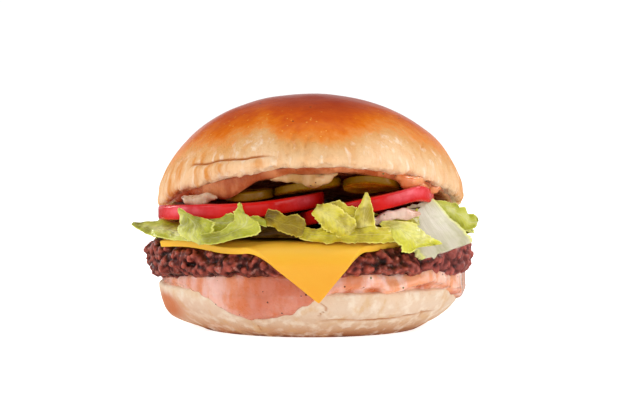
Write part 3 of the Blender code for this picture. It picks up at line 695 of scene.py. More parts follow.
@dataclass(frozen=True)
class CutFace:
    """The crown's cut face: domed over the filling and propped up at the front."""

    height: float = 41.4
    front_lift: float = 14.6
    back_drop: float = 1.2
    doming: float = 7.8
    back_doming: float = 2.6
    roll: float = 0.02
    reach: float = 50.0
    radius: float = 53.6
    film: float = 0.8
    sag: float = 0.9
    sag_x: float = -33.0
    sag_width: float = 17.0

    def at(self, x: float, y: float) -> float:
        """Its height over a place."""
        forward = max(0.0, -y) / self.reach
        inward = max(0.0, 1 - (x * x + y * y) / self.radius**2)
        back = smoothstep(-22, 22, y)
        doming = self.doming + (self.back_doming - self.doming) * back
        lift = self.front_lift * forward**1.3 - self.sag * hump(x, self.sag_x, self.sag_width) * smoothstep(18, 40, -y)
        return self.height + self.roll * x + lift - self.back_drop * back + doming * inward

    def rim(self, azimuth: float) -> float:
        """Its height at the bun's rim."""
        angle = math.radians(azimuth)
        return self.at(self.radius * math.cos(angle), self.radius * math.sin(angle))

    def ceiling(self, x: float, y: float) -> float:
        """The lowest the crown and its film of sauce reach."""
        return self.at(x, y) - 2 * GAP - self.film


@dataclass(frozen=True)
class Crown:
    """The bun's domed upper half."""

    face: CutFace
    top: float = 81.2
    lean: float = 3.0
    flat_share: float = 0.94
    fillet_turn: float = 5.0
    steps: int = 384
    crease_from: float = -143.0
    crease_to: float = -100.0
    # Where the browning starts higher on the front: x, width and share of the height. Near x -38 and from x 21 to 29
    # these patches also stand in for soft highlights as painted highlight; elsewhere they only move where the browning
    # starts.
    pale_patches: tuple[tuple[float, float, float], ...] = (
        (-38.0, 9.0, 0.05),
        (-24.0, 3.0, 0.09),
        (-16.0, 4.5, 0.17),
        (5.0, 9.0, -0.05),
        (21.0, 5.0, 0.09),
        (29.0, 7.0, 0.19),
        (42.0, 6.0, 0.04),
    )

    @property
    def height(self) -> float:
        """From the cut face at the sides to the top."""
        return self.top - self.face.height

    def profile(self) -> Profile:
        """The outline from the middle of the cut face out over the rim and up the dome."""
        radius = self.face.radius
        flat = [(share * radius, 0.0) for share in between(0.0, self.flat_share, 34)]
        start = math.radians(self.fillet_turn)
        wide = math.cos(start) - self.flat_share
        tall = self.height * math.sin(start)
        fillet = [
            (radius * (self.flat_share + wide * math.sin(turn)), tall * (1 - math.cos(turn)))
            for turn in between(0.0, math.pi / 2, 7)[1:-1]
        ]
        dome = [
            (radius * math.cos(turn), self.height * math.sin(turn))
            for turn in between(start, math.pi / 2, 92)
        ]
        dome[-1] = (0.0, self.height)
        return flat + fillet + dome

    def crease(self, azimuth: float, above: float) -> tuple[float, float]:
        """The fold over the front left rim.

        Args:
            azimuth: Place round the bun in degrees.
            above: Height over the local rim in mm.

        Returns:
            How deep in the fold the place is, and how far up on the roll under it, both 0 to 1.
        """
        share = (azimuth - self.crease_from) / (self.crease_to - self.crease_from)
        fade = smoothstep(0.0, 0.12, share) * (1 - smoothstep(0.72, 1.05, share))
        middle = 8.4 - 4.6 * share + 0.25 * math.sin(share * 17)
        return fade * hump(above, middle, 0.42), fade * hump(above, middle - 2.3, 1.7)

    def relief(self, place: Vector, rise: float, azimuth: float) -> tuple[float, float]:
        """How far the crust stands proud of the plain dome, and how deep in a crease it is.

        Args:
            place: The point in mm.
            rise: Its share of the dome's height.
            azimuth: Its place round the bun in degrees.

        Returns:
            The offset in mm and the crease's depth from 0 to 1.
        """
        side = 1 - smoothstep(0.2, 0.44, rise)
        above = rise * (self.top - self.face.rim(azimuth))
        offset = 0.35 * wander(place, 30, 1) + 0.25 * wander(place, 12, 2)
        drawn = Vector((place.x, place.y, place.z * 0.3))
        offset += side * (0.42 * wander(drawn, 3.4, 3) + 0.2 * wander(drawn, 1.8, 4))
        offset += 0.25 * side * wander(place, 5.0, 5)
        crumbly = 1 - smoothstep(1.5, 4.5, above)
        offset += crumbly * (0.8 * wander(place, 3.2, 6) + 0.5 * wander(place, 1.9, 7))
        depth, roll = self.crease(azimuth, above)
        offset += 0.8 * roll - 0.9 * depth
        dent = hump(place.x, -44.5, 3.2) * hump(place.z, 59.2, 1.3) * hump(azimuth, -140, 12)
        offset -= 0.8 * dent
        deepest = max(depth, 0.8 * dent)
        for middle, lean, low, high in ((-8.0, 0.12, 58.5, 68.5), (-4.6, -0.1, 60, 70), (-1.8, 0.06, 59.5, 69), (36.5, 0.2, 57, 66)):
            path = middle + lean * (place.z - low) + 0.5 * math.sin(place.z * 0.8 + middle)
            share = smoothstep(low, low + 3, place.z) * (1 - smoothstep(high - 3, high, place.z))
            front = smoothstep(10, 20, -place.y)
            pleat = share * front * hump(place.x, path, 0.5)
            offset -= 0.6 * pleat
            deepest = max(deepest, 0.18 * pleat)
        return offset, deepest

    def build(self, look: bpy.types.Material) -> bpy.types.Object:
        """Spins the dome, props it up at the front and gives it its crust."""
        shape = turned(self.profile(), self.steps)
        rises = shape.verts.layers.float.new("rise")
        creases = shape.verts.layers.float.new("crease")
        toasts = shape.verts.layers.float.new("toast")
        pales = shape.verts.layers.float.new("pale")
        soft = self.height * math.sin(math.radians(self.fillet_turn))
        for point in shape.verts:
            rise = point.co.z / self.height
            rim = self.face.rim(azimuth_of(point.co))
            base = self.face.at(point.co.x, point.co.y)
            base += (rim - base) * smoothstep(0.0, 0.6 * soft, point.co.z)
            ragged = (1 - smoothstep(0.0, 0.2, rise)) * smoothstep(0.8, 0.95, math.hypot(point.co.x, point.co.y) / self.face.radius)
            level_place = Vector((point.co.x, point.co.y, 0))
            base += ragged * (0.6 * wander(level_place, 5.5, 8) + 0.5 * wander(level_place, 2.6, 9))
            point.co.z = base + rise * (self.top - base)
            point.co.y += self.lean * rise * rise
            point[rises] = rise

        def proud(point: bmesh.types.BMVert) -> float:
            """The crust's offset, 0 on the cut face."""
            if point[rises] <= 0:
                return 0.0
            azimuth = azimuth_of(point.co)
            offset, depth = self.relief(point.co, point[rises], azimuth)
            # The crease depth is kept to darken the crust there as painted shade
            point[creases] = depth
            above = point[rises] * (self.top - self.face.rim(azimuth))
            away = turn_from(azimuth, -90)
            sides = smoothstep(20, 62, -away) + smoothstep(55, 95, away)
            point[toasts] = min(1.0, 0.35 + sides + 0.6 * self.crease(azimuth, above)[1])
            # Pale patches on the front: partly a varying start of the browning, partly painted highlight
            patches = sum(share * hump(point.co.x, x, wide) for x, wide, share in self.pale_patches)
            point[pales] = smoothstep(5, 25, -point.co.y) * patches
            return offset

        swell(shape, proud)
        return settle(shape, "crown_bread", look, Slot.CRUST, "crown")


@dataclass(frozen=True)
class Heel:
    """The bun's lower half."""

    height: float = 16.6
    foot: float = 38.0
    belly: float = 15.0
    radius: float = 53.0
    shoulder: float = 3.6
    fullness: float = 2.6
    steps: int = 384

    def side(self, height: float) -> float:
        """Radius of the side: an elliptic shoulder above the belly, rounding in to the foot below it."""
        if height >= self.belly:
            share = min(1.0, (height - self.belly) / (self.height - self.belly))
            return self.radius - self.shoulder * (1 - math.sqrt(1 - share * share))
        return self.radius - (self.radius - self.foot) * (1 - height / self.belly) ** 1.85

    def crease(self, azimuth: float, height: float) -> float:
        """How deep in the side's wrinkles a place is, 0 to 1."""
        share = (azimuth + 90) / 60
        fade = smoothstep(0.0, 0.1, share) * (1 - smoothstep(0.85, 1.1, share))
        depth = fade * hump(height, 6.4 + 0.9 * share * share + 0.3 * math.sin(9 * share), 0.35)
        for middle, low, high, wave in ((-85.5, 7.5, 13.5, 1.3), (-40, 5.0, 9.0, 1.0), (-112, 2.0, 5.5, 0.8)):
            path = middle + wave * math.sin(height * 1.3)
            reach = smoothstep(low, low + 1, height) * (1 - smoothstep(high - 1, high, height))
            depth = max(depth, 0.8 * reach * hump(azimuth, path, 0.7))
        return depth

    def build(self, look: bpy.types.Material) -> bpy.types.Object:
        """Spins the heel and wrinkles its side."""
        flat = self.radius - self.shoulder
        top = [(radius, self.height) for radius in between(0.0, flat, 16)]
        turns = between(0.0, math.pi / 2, 9)
        shoulder = [
            (flat + self.shoulder * math.sin(turn), self.belly + (self.height - self.belly) * math.cos(turn))
            for turn in turns[1:]
        ]
        side = [(self.side(height), height) for height in between(self.belly, 0.0, 26)[1:]]
        foot = [(radius, 0.0) for radius in between(self.foot, 0.0, 12)[1:]]
        shape = turned(top + shoulder + side + foot, self.steps)
        rises = shape.verts.layers.float.new("rise")
        creases = shape.verts.layers.float.new("crease")
        bakes = shape.verts.layers.float.new("baked")

        def proud(point: bmesh.types.BMVert) -> float:
            """Wrinkles on the side, none on the flat top or foot."""
            place = point.co
            point[rises] = place.z / self.height
            radius = math.hypot(place.x, place.y)
            if radius < self.foot - 1 or (place.z > self.height - 0.01 and radius < flat):
                return 0.0
            azimuth = azimuth_of(place)
            drawn = Vector((place.x, place.y, place.z * 0.6))
            depth = self.crease(azimuth, place.z)
            # The wrinkle depth is kept to darken the side there as painted shade
            point[creases] = depth
            edge = smoothstep(0.0, 2.0, place.z)
            fuller = self.fullness * hump(turn_from(azimuth, 180), 0, 25) * hump(place.z, 6, 4)
            offset = fuller + 0.5 * wander(place, 22, 11) + 0.25 * wander(drawn, 5, 12) + 0.14 * wander(drawn, 2.2, 13)
            point[bakes] = hump(turn_from(azimuth, -164), 0, 13) * hump(place.z, 9.5, 4.4)
            point[bakes] += 0.3 * hump(turn_from(azimuth, -140), 0, 22) * (1 - smoothstep(10, 16, place.z))
            return edge * (offset - 0.55 * depth)

        swell(shape, proud)
        return settle(shape, "heel_bread", look, Slot.SIDE, "heel")


# ---------------------------------------------------------------------------------------------------
# Sauces
# ---------------------------------------------------------------------------------------------------


@dataclass(frozen=True)
class LowerSauce:
    """Burger sauce spread on the heel and run down its side."""

    heel: Heel
    patty: "Patty"
    film: float = 0.8
    brim: float = 20.0
    bead_azimuth: float = -50.0
    bead_spread: float = 30.0
    bead_thickness: float = 2.6
    steps: int = 384
    back_spread: float = 32.0
    # Where the sauce ends on the heel's side: azimuth in degrees, height in mm.
    hem: tuple[tuple[float, float], ...] = (
        (-180, 16.6), (-162, 16.6), (-150, 16.3), (-142, 15.9), (-136, 15.0), (-131, 13.6), (-125, 10.2),
        (-119, 7.4), (-114, 6.4), (-108, 6.8), (-98, 8.6), (-92, 11.8), (-86, 15.0), (-79, 16.9), (-72, 17.3), (-66, 17.0),
        (-62, 15.2), (-58, 15.6), (-52, 16.6), (-45, 17.6), (-38, 16.8), (-31, 15.2), (-24, 13.0), (-14, 10.6),
        (-6, 13.0), (4, 15.0),
        (12, 13.0), (24, 11.8), (38, 14.0), (60, 13.0), (74, 10.4), (88, 12.6), (104, 14.0), (118, 12.6),
        (134, 14.4), (150, 14.8), (164, 15.8), (180, 16.6),
    )

    def hem_height(self, azimuth: float) -> float:
        """Height at which the sauce ends at this azimuth."""
        for (start, low), (end, high) in zip(self.hem, self.hem[1:]):
            if azimuth <= end:
                return low + (high - low) * smoothstep(start, end, azimuth)
        return self.hem[-1][1]

    def thickness(self, azimuth: float, height: float, place: Vector) -> float:
        """Thickness over the heel, negative where there is no sauce.

        Args:
            azimuth: Place round the heel in degrees.
            height: Height up the side in mm.
            place: The point itself, for the unevenness.

        Returns:
            The thickness in mm.
        """
        inside = height - self.hem_height(azimuth) + 0.5 * wander(place, 4.0, 21) + 0.2 * wander(place, 1.6, 22)
        bead = hump(turn_from(azimuth, self.bead_azimuth), 0, self.bead_spread)
        drawn = Vector((place.x, place.y, place.z * 0.5))
        thick = 0.9 + 2.9 * bead + (0.35 + 1.1 * bead) * wander(drawn, 7.0, 23) + 0.4 * bead * wander(place, 3.2, 24)
        thick *= 1 - 0.8 * self.recede(azimuth)
        rolled = smoothstep(-0.3, 1.3, inside) * (1 - 0.5 * bead * smoothstep(2.2, 6.5, inside))
        return thick * rolled - 0.9 * (1 - smoothstep(-0.9, 0.1, inside))

    def recede(self, azimuth: float) -> float:
        """How far the sauce stays back under the patty, 1 at the left."""
        return hump(turn_from(azimuth, 180), 0, self.back_spread)

    def build(self, look: bpy.types.Material) -> bpy.types.Object:
        """A shell over the heel that fills the space under the patty's edge and dips into the bread where it ends."""
        heel = self.heel
        low = 4.0
        wide = heel.radius - 0.2
        over = [(radius, self.brim) for radius in between(0.0, wide - 1.2, 22)]
        turns = between(0.0, math.pi / 2, 6)[1:]
        over += [(wide - 1.2 * (1 - math.sin(turn)), self.brim - 1.2 * (1 - math.cos(turn))) for turn in turns]
        wall = [(wide, height) for height in between(self.brim - 1.2, heel.belly, 12)[1:]]
        side = [(heel.side(height), height) for height in between(heel.belly, low, 18)[1:]]
        under = [(heel.side(height) - 2.0, height) for height in between(low, heel.belly, 8)]
        inner = [(radius, heel.height - 1.0) for radius in between(heel.radius - heel.shoulder - 2.0, 0.0, 6)]
        shape = turned(over + wall + side + under + inner, self.steps)
        stains = shape.verts.layers.float.new("stain")
        shells = shape.verts.layers.float.new("shell")
        for point in shape.verts:
            radius = math.hypot(point.co.x, point.co.y)
            height = point.co.z
            azimuth = azimuth_of(point.co)
            outer = radius > heel.side(min(height, heel.belly)) - 0.9
            point[shells] = 1.0 if outer and height < self.brim - 0.01 else 0.0
            if height > heel.height - 0.5:
                share = (height - heel.height) / (self.brim - heel.height)
                lift = self.patty.edge_lift(radius + 2.0, azimuth) + 0.3
                point.co.z = heel.height + share * (self.film + GAP + lift)
            held = 1 - 0.02 * self.recede(azimuth) * smoothstep(11.0, heel.height, height) * smoothstep(40, 48, radius)
            point.co.x *= held
            point.co.y *= held

        def proud(point: bmesh.types.BMVert) -> float:
            """The sauce's thickness where it is the outer shell."""
            if not point[shells]:
                return 0.0
            azimuth = azimuth_of(point.co)
            inside = point.co.z - self.hem_height(azimuth)
            stain = (1 - smoothstep(0.0, 2.0, inside)) * smoothstep(-0.2, 0.4, wander(point.co, 6, 24))
            stain = max(stain, 0.5 * smoothstep(0.1, 0.5, wander(point.co, 9, 25)), self.recede(azimuth))
            smear = hump(azimuth, -101, 24) * (0.78 + 0.22 * smoothstep(-0.6, 0.4, wander(point.co, 8, 27)))
            smear = max(smear, 0.5 * hump(azimuth, -138, 16))
            point[stains] = max(stain, smear, 0.5 * hump(azimuth, -76, 8) * smoothstep(-0.6, 0.3, wander(point.co, 5, 26)))
            return self.thickness(azimuth, point.co.z, point.co)

        swell(shape, proud)
        return settle(shape, "heel_sauce", look, Slot.SAUCE, "sauce_lower")


@dataclass(frozen=True)
class UpperSauce:
    """The sauce film on the crown's cut face, with its thicker places."""

    face: CutFace
    radius: float = 49.5
    steps: int = 240
    # Thicker places: x, y, width, depth and thickness, in mm.
    blobs: tuple[tuple[float, float, float, float, float], ...] = (
        (-35, -36, 7, 6, 3.0),
        (-28.5, -42.5, 9, 4.5, 6.2),
        (-45, -24, 5, 7, 1.6),
        (-14, -46, 8, 3, 1.4),
        (2, -46, 10, 3, 1.2),
        (38, -33, 7, 6, 2.6),
        (26, -41, 8, 4, 1.6),
    )

    def build(self, look: bpy.types.Material) -> bpy.types.Object:
        """A film under the cut face, lumpy and uneven at its hem."""
        radii = between(0.0, self.radius, 60)
        over = [(radius, 0.0) for radius in radii]
        under = [(radius, -1.0) for radius in reversed(radii)]
        shape = turned(over + under, self.steps)
        stains = shape.verts.layers.float.new("stain")
        for point in shape.verts:
            level = -point.co.z
            azimuth = azimuth_of(point.co)
            spread = 1 + 0.03 * wander(point.co, 14, 31)
            spread += 0.035 * hump(turn_from(azimuth, -48), 0, 16) + 0.03 * hump(turn_from(azimuth, -138), 0, 20)
            place = Vector((point.co.x * spread, point.co.y * spread, 0))
            edge = smoothstep(0.0, 2.0, self.radius - math.hypot(point.co.x, point.co.y))
            depth = self.face.film + 0.5 * wander(place, 7, 32) + 0.2 * wander(place, 3, 33)
            depth += sum(thick * hump(place.x, x, wide) * hump(place.y, y, deep) for x, y, wide, deep, thick in self.blobs)
            place.z = self.face.at(place.x, place.y) + 0.15 - level * (0.3 + depth * math.sqrt(edge))
            point.co = place
            point[stains] = smoothstep(0.1, 0.5, wander(place, 11, 34)) * 0.8
        bmesh.ops.recalc_face_normals(shape, faces=shape.faces)
        return settle(shape, "crown_sauce", look, Slot.SAUCE, "sauce_upper")


@dataclass(frozen=True)
class Dab:
    """A lump of sauce: place, size and turn about the vertical."""

    name: str
    middle: Point
    size: Point
    turn: float
    tilt: float = 0.0
    seed: int = 41
    balls: int = 26
    grain: float = 0.3
    soften: int = 16

    def build(self, look: bpy.types.Material) -> bpy.types.Object:
        """Small balls strewn along the lump, fused and smoothed into one soft skin."""
        pick = random.Random(self.seed)
        wide, deep, tall = (side / 2 for side in self.size)
        balls = []
        for _ in range(self.balls):
            reach = pick.uniform(-1, 1)
            slim = math.sqrt(1 - 0.75 * reach * reach)
            size = pick.uniform(0.55, 0.85) * tall * slim
            place = Vector((
                reach * (wide - size),
                pick.uniform(-0.6, 0.6) * deep * slim,
                (0.35 * math.sin(3 * reach + self.seed) + pick.uniform(-0.4, 0.4)) * tall * slim,
            ))
            balls.append(Matrix.Translation(place) @ Matrix.Diagonal((1.7, 1.1, 1.0, 1)) @ Matrix.Scale(size, 4))
        shape = bmesh.new()
        add_handful(shape, balls)
        shape = remeshed(shape, self.grain)
        for _ in range(self.soften):
            bmesh.ops.smooth_vert(shape, verts=shape.verts, factor=0.5, use_axis_x=True, use_axis_y=True, use_axis_z=True)
        turn = Matrix.Rotation(math.radians(self.turn), 4, "Z") @ Matrix.Rotation(math.radians(self.tilt), 4, "Y")
        bmesh.ops.transform(shape, matrix=turn, verts=shape.verts)
        bmesh.ops.translate(shape, vec=self.middle, verts=shape.verts)
        shape.verts.layers.float.new("stain")
        return settle(shape, self.name, look, Slot.SAUCE, "sauce_upper")


# ---------------------------------------------------------------------------------------------------
# Meat and cheese
# ---------------------------------------------------------------------------------------------------


@dataclass(frozen=True)
class Patty:
    """Ground beef: a ring of crumbs pressed round a plain core."""

    bottom: float = 18.2
    top: float = 30.2
    radius: float = 57.2
    crumbs: int = 2600
    inner: float = 43.0
    grain: float = 0.57
    seed: int = 5
    handful: int = 60

    def lifted(self, azimuth: float) -> float:
        """How far sauce lifts the lower edge, in mm."""
        front = max(0.0, -math.sin(math.radians(azimuth)))
        return 1.4 - 1.9 * hump(turn_from(azimuth, 180), 0, 32) + 3.2 * front**2

    def edge_lift(self, radius: float, azimuth: float) -> float:
        """The same at any distance from the middle."""
        return self.lifted(azimuth) * smoothstep(0.8 * self.radius, 0.95 * self.radius, radius)

    def rind(self, share: float, azimuth: float) -> tuple[float, float]:
        """A (radius, height) on the outer skin, from the top face's inside at 0 to the bottom's at 1."""
        middle = (self.top + self.bottom) / 2
        half = (self.top - self.bottom) / 2
        if share < 0.28:
            return self.inner + (0.93 * self.radius - self.inner) * share / 0.28, self.top - 0.6
        if share > 0.8:
            place = (1 - share) / 0.2
            return self.inner + (0.93 * self.radius - self.inner) * place, self.bottom + 0.9 * self.lifted(azimuth) * place
        turn = math.radians(75 - 150 * (share - 0.28) / 0.52)
        radius = self.radius * (0.915 + 0.07 * math.cos(turn) ** 0.7)
        radius -= 3.4 * hump(turn_from(azimuth, 180), 0, 30) * max(0.0, -math.sin(turn)) ** 1.5
        height = middle + half * 0.93 * math.sin(turn)
        if height < middle:
            height += (middle - height) / half * self.lifted(azimuth)
        return radius, height

    def core(self) -> Shape:
        """The ring under the crumbs."""
        outline = [self.rind(share, 90) for share in between(0.0, 1.0, 24)]
        shape = turned([(0.0, self.top - 0.9)] + [(r - 0.9, z) for r, z in outline] + [(0.0, self.bottom + 0.4)], 120)
        middle = (self.top + self.bottom) / 2
        for point in shape.verts:
            azimuth = azimuth_of(point.co)
            radius = math.hypot(point.co.x, point.co.y)
            if point.co.z < middle and radius > self.inner + 1:
                extra = self.lifted(azimuth) - self.lifted(90)
                point.co.z += extra * smoothstep(self.inner, 0.93 * self.radius, radius)
        swell(shape, lambda point: 0.7 * wander(point.co, 9, 51) + 0.5 * wander(point.co, 4, 52))
        return shape

    def build(self, look: bpy.types.Material) -> bpy.types.Object:
        """Joins core and crumbs, remeshes them as one skin and roughens it."""
        pick = random.Random(self.seed)
        shape = self.core()
        heap = []
        for _ in range(self.crumbs):
            azimuth = pick.uniform(-180, 180)
            share = pick.uniform(0.18, 0.92)
            radius, height = self.rind(share, azimuth)
            ragged = 1.9 * noise.noise(Vector((azimuth / 6, share * 4, 5))) + 0.9 * noise.noise(Vector((azimuth / 2.6, share * 8, 9)))
            size = pick.triangular(0.6, 2.8, 1.3)
            angle = math.radians(azimuth)
            off = pick.uniform(-1.0, 0.35) + ragged - 0.3 * size - 1.1 * hump(azimuth, 0, 24)
            centre = Vector(((radius + off) * math.cos(angle), (radius + off) * math.sin(angle), height))
            lowest = self.bottom + 0.8 * self.edge_lift(radius, azimuth) + 0.5 * size
            centre.z = min(max(centre.z, lowest), self.top - 0.75 * size + 0.3)
            stretch = Matrix.Diagonal((pick.uniform(0.8, 1.5), pick.uniform(0.7, 1.1), pick.uniform(0.6, 1.0), 1)) * size
            stretch[3][3] = 1
            spin = Matrix.Rotation(pick.uniform(0, math.pi), 4, "Z") @ Matrix.Rotation(pick.uniform(-0.9, 0.9), 4, "X")
            heap.append(Matrix.Translation(centre) @ spin @ stretch)
        for start in range(0, len(heap), self.handful):
            add_handful(shape, heap[start : start + self.handful])
        shape = remeshed(shape, self.grain)
        swell(shape, lambda point: 0.24 * wander(point.co, 1.8, 53) + 0.12 * wander(point.co, 1.0, 54))
        store_cavity(shape)
        return settle(shape, "patty_beef", look, Slot.BEEF, "patty")


def add_handful(shape: Shape, places: Sequence[Matrix]) -> None:
    """Adds one crumb at each place. A separate small shape keeps the operator quick.

    Args:
        shape: The pile that grows.
        places: Each crumb's place, turn and size.
    """
    crumbs = bmesh.new()
    for place in places:
        bmesh.ops.create_icosphere(crumbs, subdivisions=1, radius=1.0, matrix=place)
    mesh = bpy.data.meshes.new("crumbs")
    crumbs.to_mesh(mesh)
    crumbs.free()
    shape.from_mesh(mesh)
    bpy.data.meshes.remove(mesh)


def remeshed(shape: Shape, grain: float) -> Shape:
    """Fuses a pile of overlapping shapes into one closed skin.

    Args:
        shape: The pile in mm, which is freed.
        grain: The new skin's face size in mm.

    Returns:
        The skin.
    """
    pile = bpy.data.meshes.new("pile")
    shape.to_mesh(pile)
    shape.free()
    holder = bpy.data.objects.new("pile", pile)
    bpy.context.scene.collection.objects.link(holder)
    fuse = holder.modifiers.new("fuse", "REMESH")
    fuse.mode = "VOXEL"
    fuse.voxel_size = grain
    bpy.context.view_layer.update()
    evaluated = holder.evaluated_get(bpy.context.evaluated_depsgraph_get())
    skin = bmesh.new()
    skin.from_mesh(evaluated.to_mesh())
    evaluated.to_mesh_clear()
    bpy.data.objects.remove(holder)
    bpy.data.meshes.remove(pile)
    return skin


def store_cavity(shape: Shape, rounds: int = 5, depth: float = 0.9) -> None:
    """Stores in the attribute cavity how far each vertex stands out of its smoothed surroundings, 0 to 1.

    Args:
        shape: The shape to mark.
        rounds: How often the surroundings are smoothed.
        depth: The height in mm that goes from 0 to 1.
    """
    shape.normal_update()
    own = [point.co.copy() for point in shape.verts]
    out = [point.normal.copy() for point in shape.verts]
    for _ in range(rounds):
        bmesh.ops.smooth_vert(shape, verts=shape.verts, factor=1.0, use_axis_x=True, use_axis_y=True, use_axis_z=True)
    cavities = shape.verts.layers.float.new("cavity")
    for point, place, normal in zip(shape.verts, own, out):
        point[cavities] = min(1.0, max(0.0, 0.5 + (place - point.co).dot(normal) / depth))
        point.co = place
    shape.normal_update()


@dataclass(frozen=True)
class CheeseSlice:
    """One square slice, a corner to the front, draped over the patty's edge."""

    patty: Patty
    side: float = 68.0
    thickness: float = 2.3
    turn: float = 6.0
    tip: tuple[float, float] = (2.7, -74.2)
    sag_from: float = 52.0
    sag: float = 0.02
    # Where its edges hang lower beside the fold: distance from the middle, spread and depth.
    droop: tuple[float, float, float] = (28.0, 9.0, 1.5)
    fold: float = 53.8
    bend: float = 5.8
    hang: float = 86.0
    segments: int = 120
    rounding: float = 0.55

    @property
    def under(self) -> float:
        """Height of the slice's lower face on the patty."""
        return self.patty.top + GAP

    def corner(self) -> tuple[Vector, Vector, Vector]:
        """The flat slice's front corner and its two edge directions."""
        angle = math.radians(45 - self.turn)
        left = Vector((-math.cos(angle), math.sin(angle)))
        return Vector(self.tip), left, Vector((left.y, -left.x))

    def cover(self, x: float, y: float) -> float:
        """1 over the flat part, falling to 0 some millimetres past the edges."""
        tip, left, right = self.corner()
        share = 1.0
        for edge in (left, right):
            reach = (Vector((x, y)) - tip).dot(edge)
            share = min(share, 1 - smoothstep(4, 11, max(-reach, reach - self.side)))
        return share

    def drape(self, x: float, y: float) -> Vector:
        """Where a point of the flat slice comes to rest."""
        reach = math.hypot(x, max(y, -self.fold))
        overhang = max(0.0, reach - self.sag_from)
        aside, spread, depth = self.droop
        lower = depth * hump(abs(x), aside, spread) * smoothstep(47, 57, reach)
        place = Vector((x, y, self.under - self.sag * overhang**2 - lower))
        forward = -y - self.fold
        if forward > 0:
            angle = min(forward / self.bend, math.radians(self.hang))
            straight = forward - angle * self.bend
            place.y = -self.fold - self.bend * math.sin(angle) - straight * math.cos(angle)
            place.z -= self.bend * (1 - math.cos(angle)) + straight * math.sin(angle)
        return place

    def build(self, look: bpy.types.Material) -> bpy.types.Object:
        """Drapes a fine grid and thickens it upwards."""
        tip, left, right = self.corner()
        shape = bmesh.new()
        bmesh.ops.create_grid(shape, x_segments=self.segments, y_segments=self.segments, size=0.5)
        for point in shape.verts:
            flat = tip + left * (point.co.x + 0.5) * self.side + right * (point.co.y + 0.5) * self.side
            waves = 0.22 * wander(Vector((flat.x, flat.y, 0)), 16, 61) + 0.05 * wander(Vector((flat.x, flat.y, 0)), 5, 62)
            place = self.drape(flat.x, flat.y)
            hanging = smoothstep(0.0, 8.0, -flat.y - self.fold)
            place.y -= hanging * (0.3 + waves)
            place.z += (1 - hanging) * waves * 0.6
            point.co = place
        bmesh.ops.recalc_face_normals(shape, faces=shape.faces)
        if sum(face.normal.z for face in shape.faces) < 0:
            bmesh.ops.reverse_faces(shape, faces=shape.faces)
        piece = settle(shape, "cheese_slice", look, Slot.CHEESE, "cheese")
        wall = piece.modifiers.new("thickness", "SOLIDIFY")
        wall.thickness = self.thickness * MM
        wall.offset = 1.0
        rounded = piece.modifiers.new("rounding", "BEVEL")
        rounded.width = self.rounding * MM
        rounded.segments = 3
        rounded.limit_method = "ANGLE"
        rounded.angle_limit = math.radians(50)
        return piece


# ---------------------------------------------------------------------------------------------------
# Tomato and pickle slices
# ---------------------------------------------------------------------------------------------------


def softer_min(first: float, second: float, blend: float = 1.0) -> float:
    """The smaller of two heights, rounded where they cross."""
    share = max(0.0, 1 - abs(first - second) / (2 * blend))
    return min(first, second) - blend * share * share / 2


class Bed(Enum):
    """What a round slice lies on."""

    TOMATO_FRONT_LEFT = "tomato_front_left"
    TOMATO_FRONT_RIGHT = "tomato_front_right"
    TOMATO_BACK = "tomato_back"
    PICKLE_LEFT = "pickle_left"
    PICKLE_MIDDLE = "pickle_middle"
    PICKLE_RIGHT = "pickle_right"


@dataclass(frozen=True)
class Fillings:
    """Where the tomato and pickle slices lie, under the crown."""

    face: CutFace
    tomato: float = 4.9
    hanging: float = 2.4

    def under(self, bed: Bed, x: float, y: float) -> float:
        """Height of a slice's lower face over a place."""
        forward = 0.035 * (-25 - y)
        if bed is Bed.PICKLE_LEFT:
            return self.under(Bed.TOMATO_FRONT_LEFT, x, y) + self.tomato + GAP + 0.05 * (y + 41.2)
        if bed is Bed.PICKLE_MIDDLE:
            return 48.4 + 0.16 * (x + 2) + 0.09 * (-33 - y)
        if bed is Bed.PICKLE_RIGHT:
            return self.face.ceiling(x, y) - self.hanging - 0.16 * max(0.0, 29 - x) / 18 * (y + 43.6)
        if bed is Bed.TOMATO_FRONT_LEFT:
            free = 38.6 + 0.03 * (x + 50) + 2.9 * (max(0.0, x + 22) / 26) ** 1.5 + forward
        elif bed is Bed.TOMATO_FRONT_RIGHT:
            free = 36.7 + 0.225 * (x + 1) + forward
        else:
            free = 36.9
        return softer_min(free, self.face.ceiling(x, y) - self.tomato - 0.3)


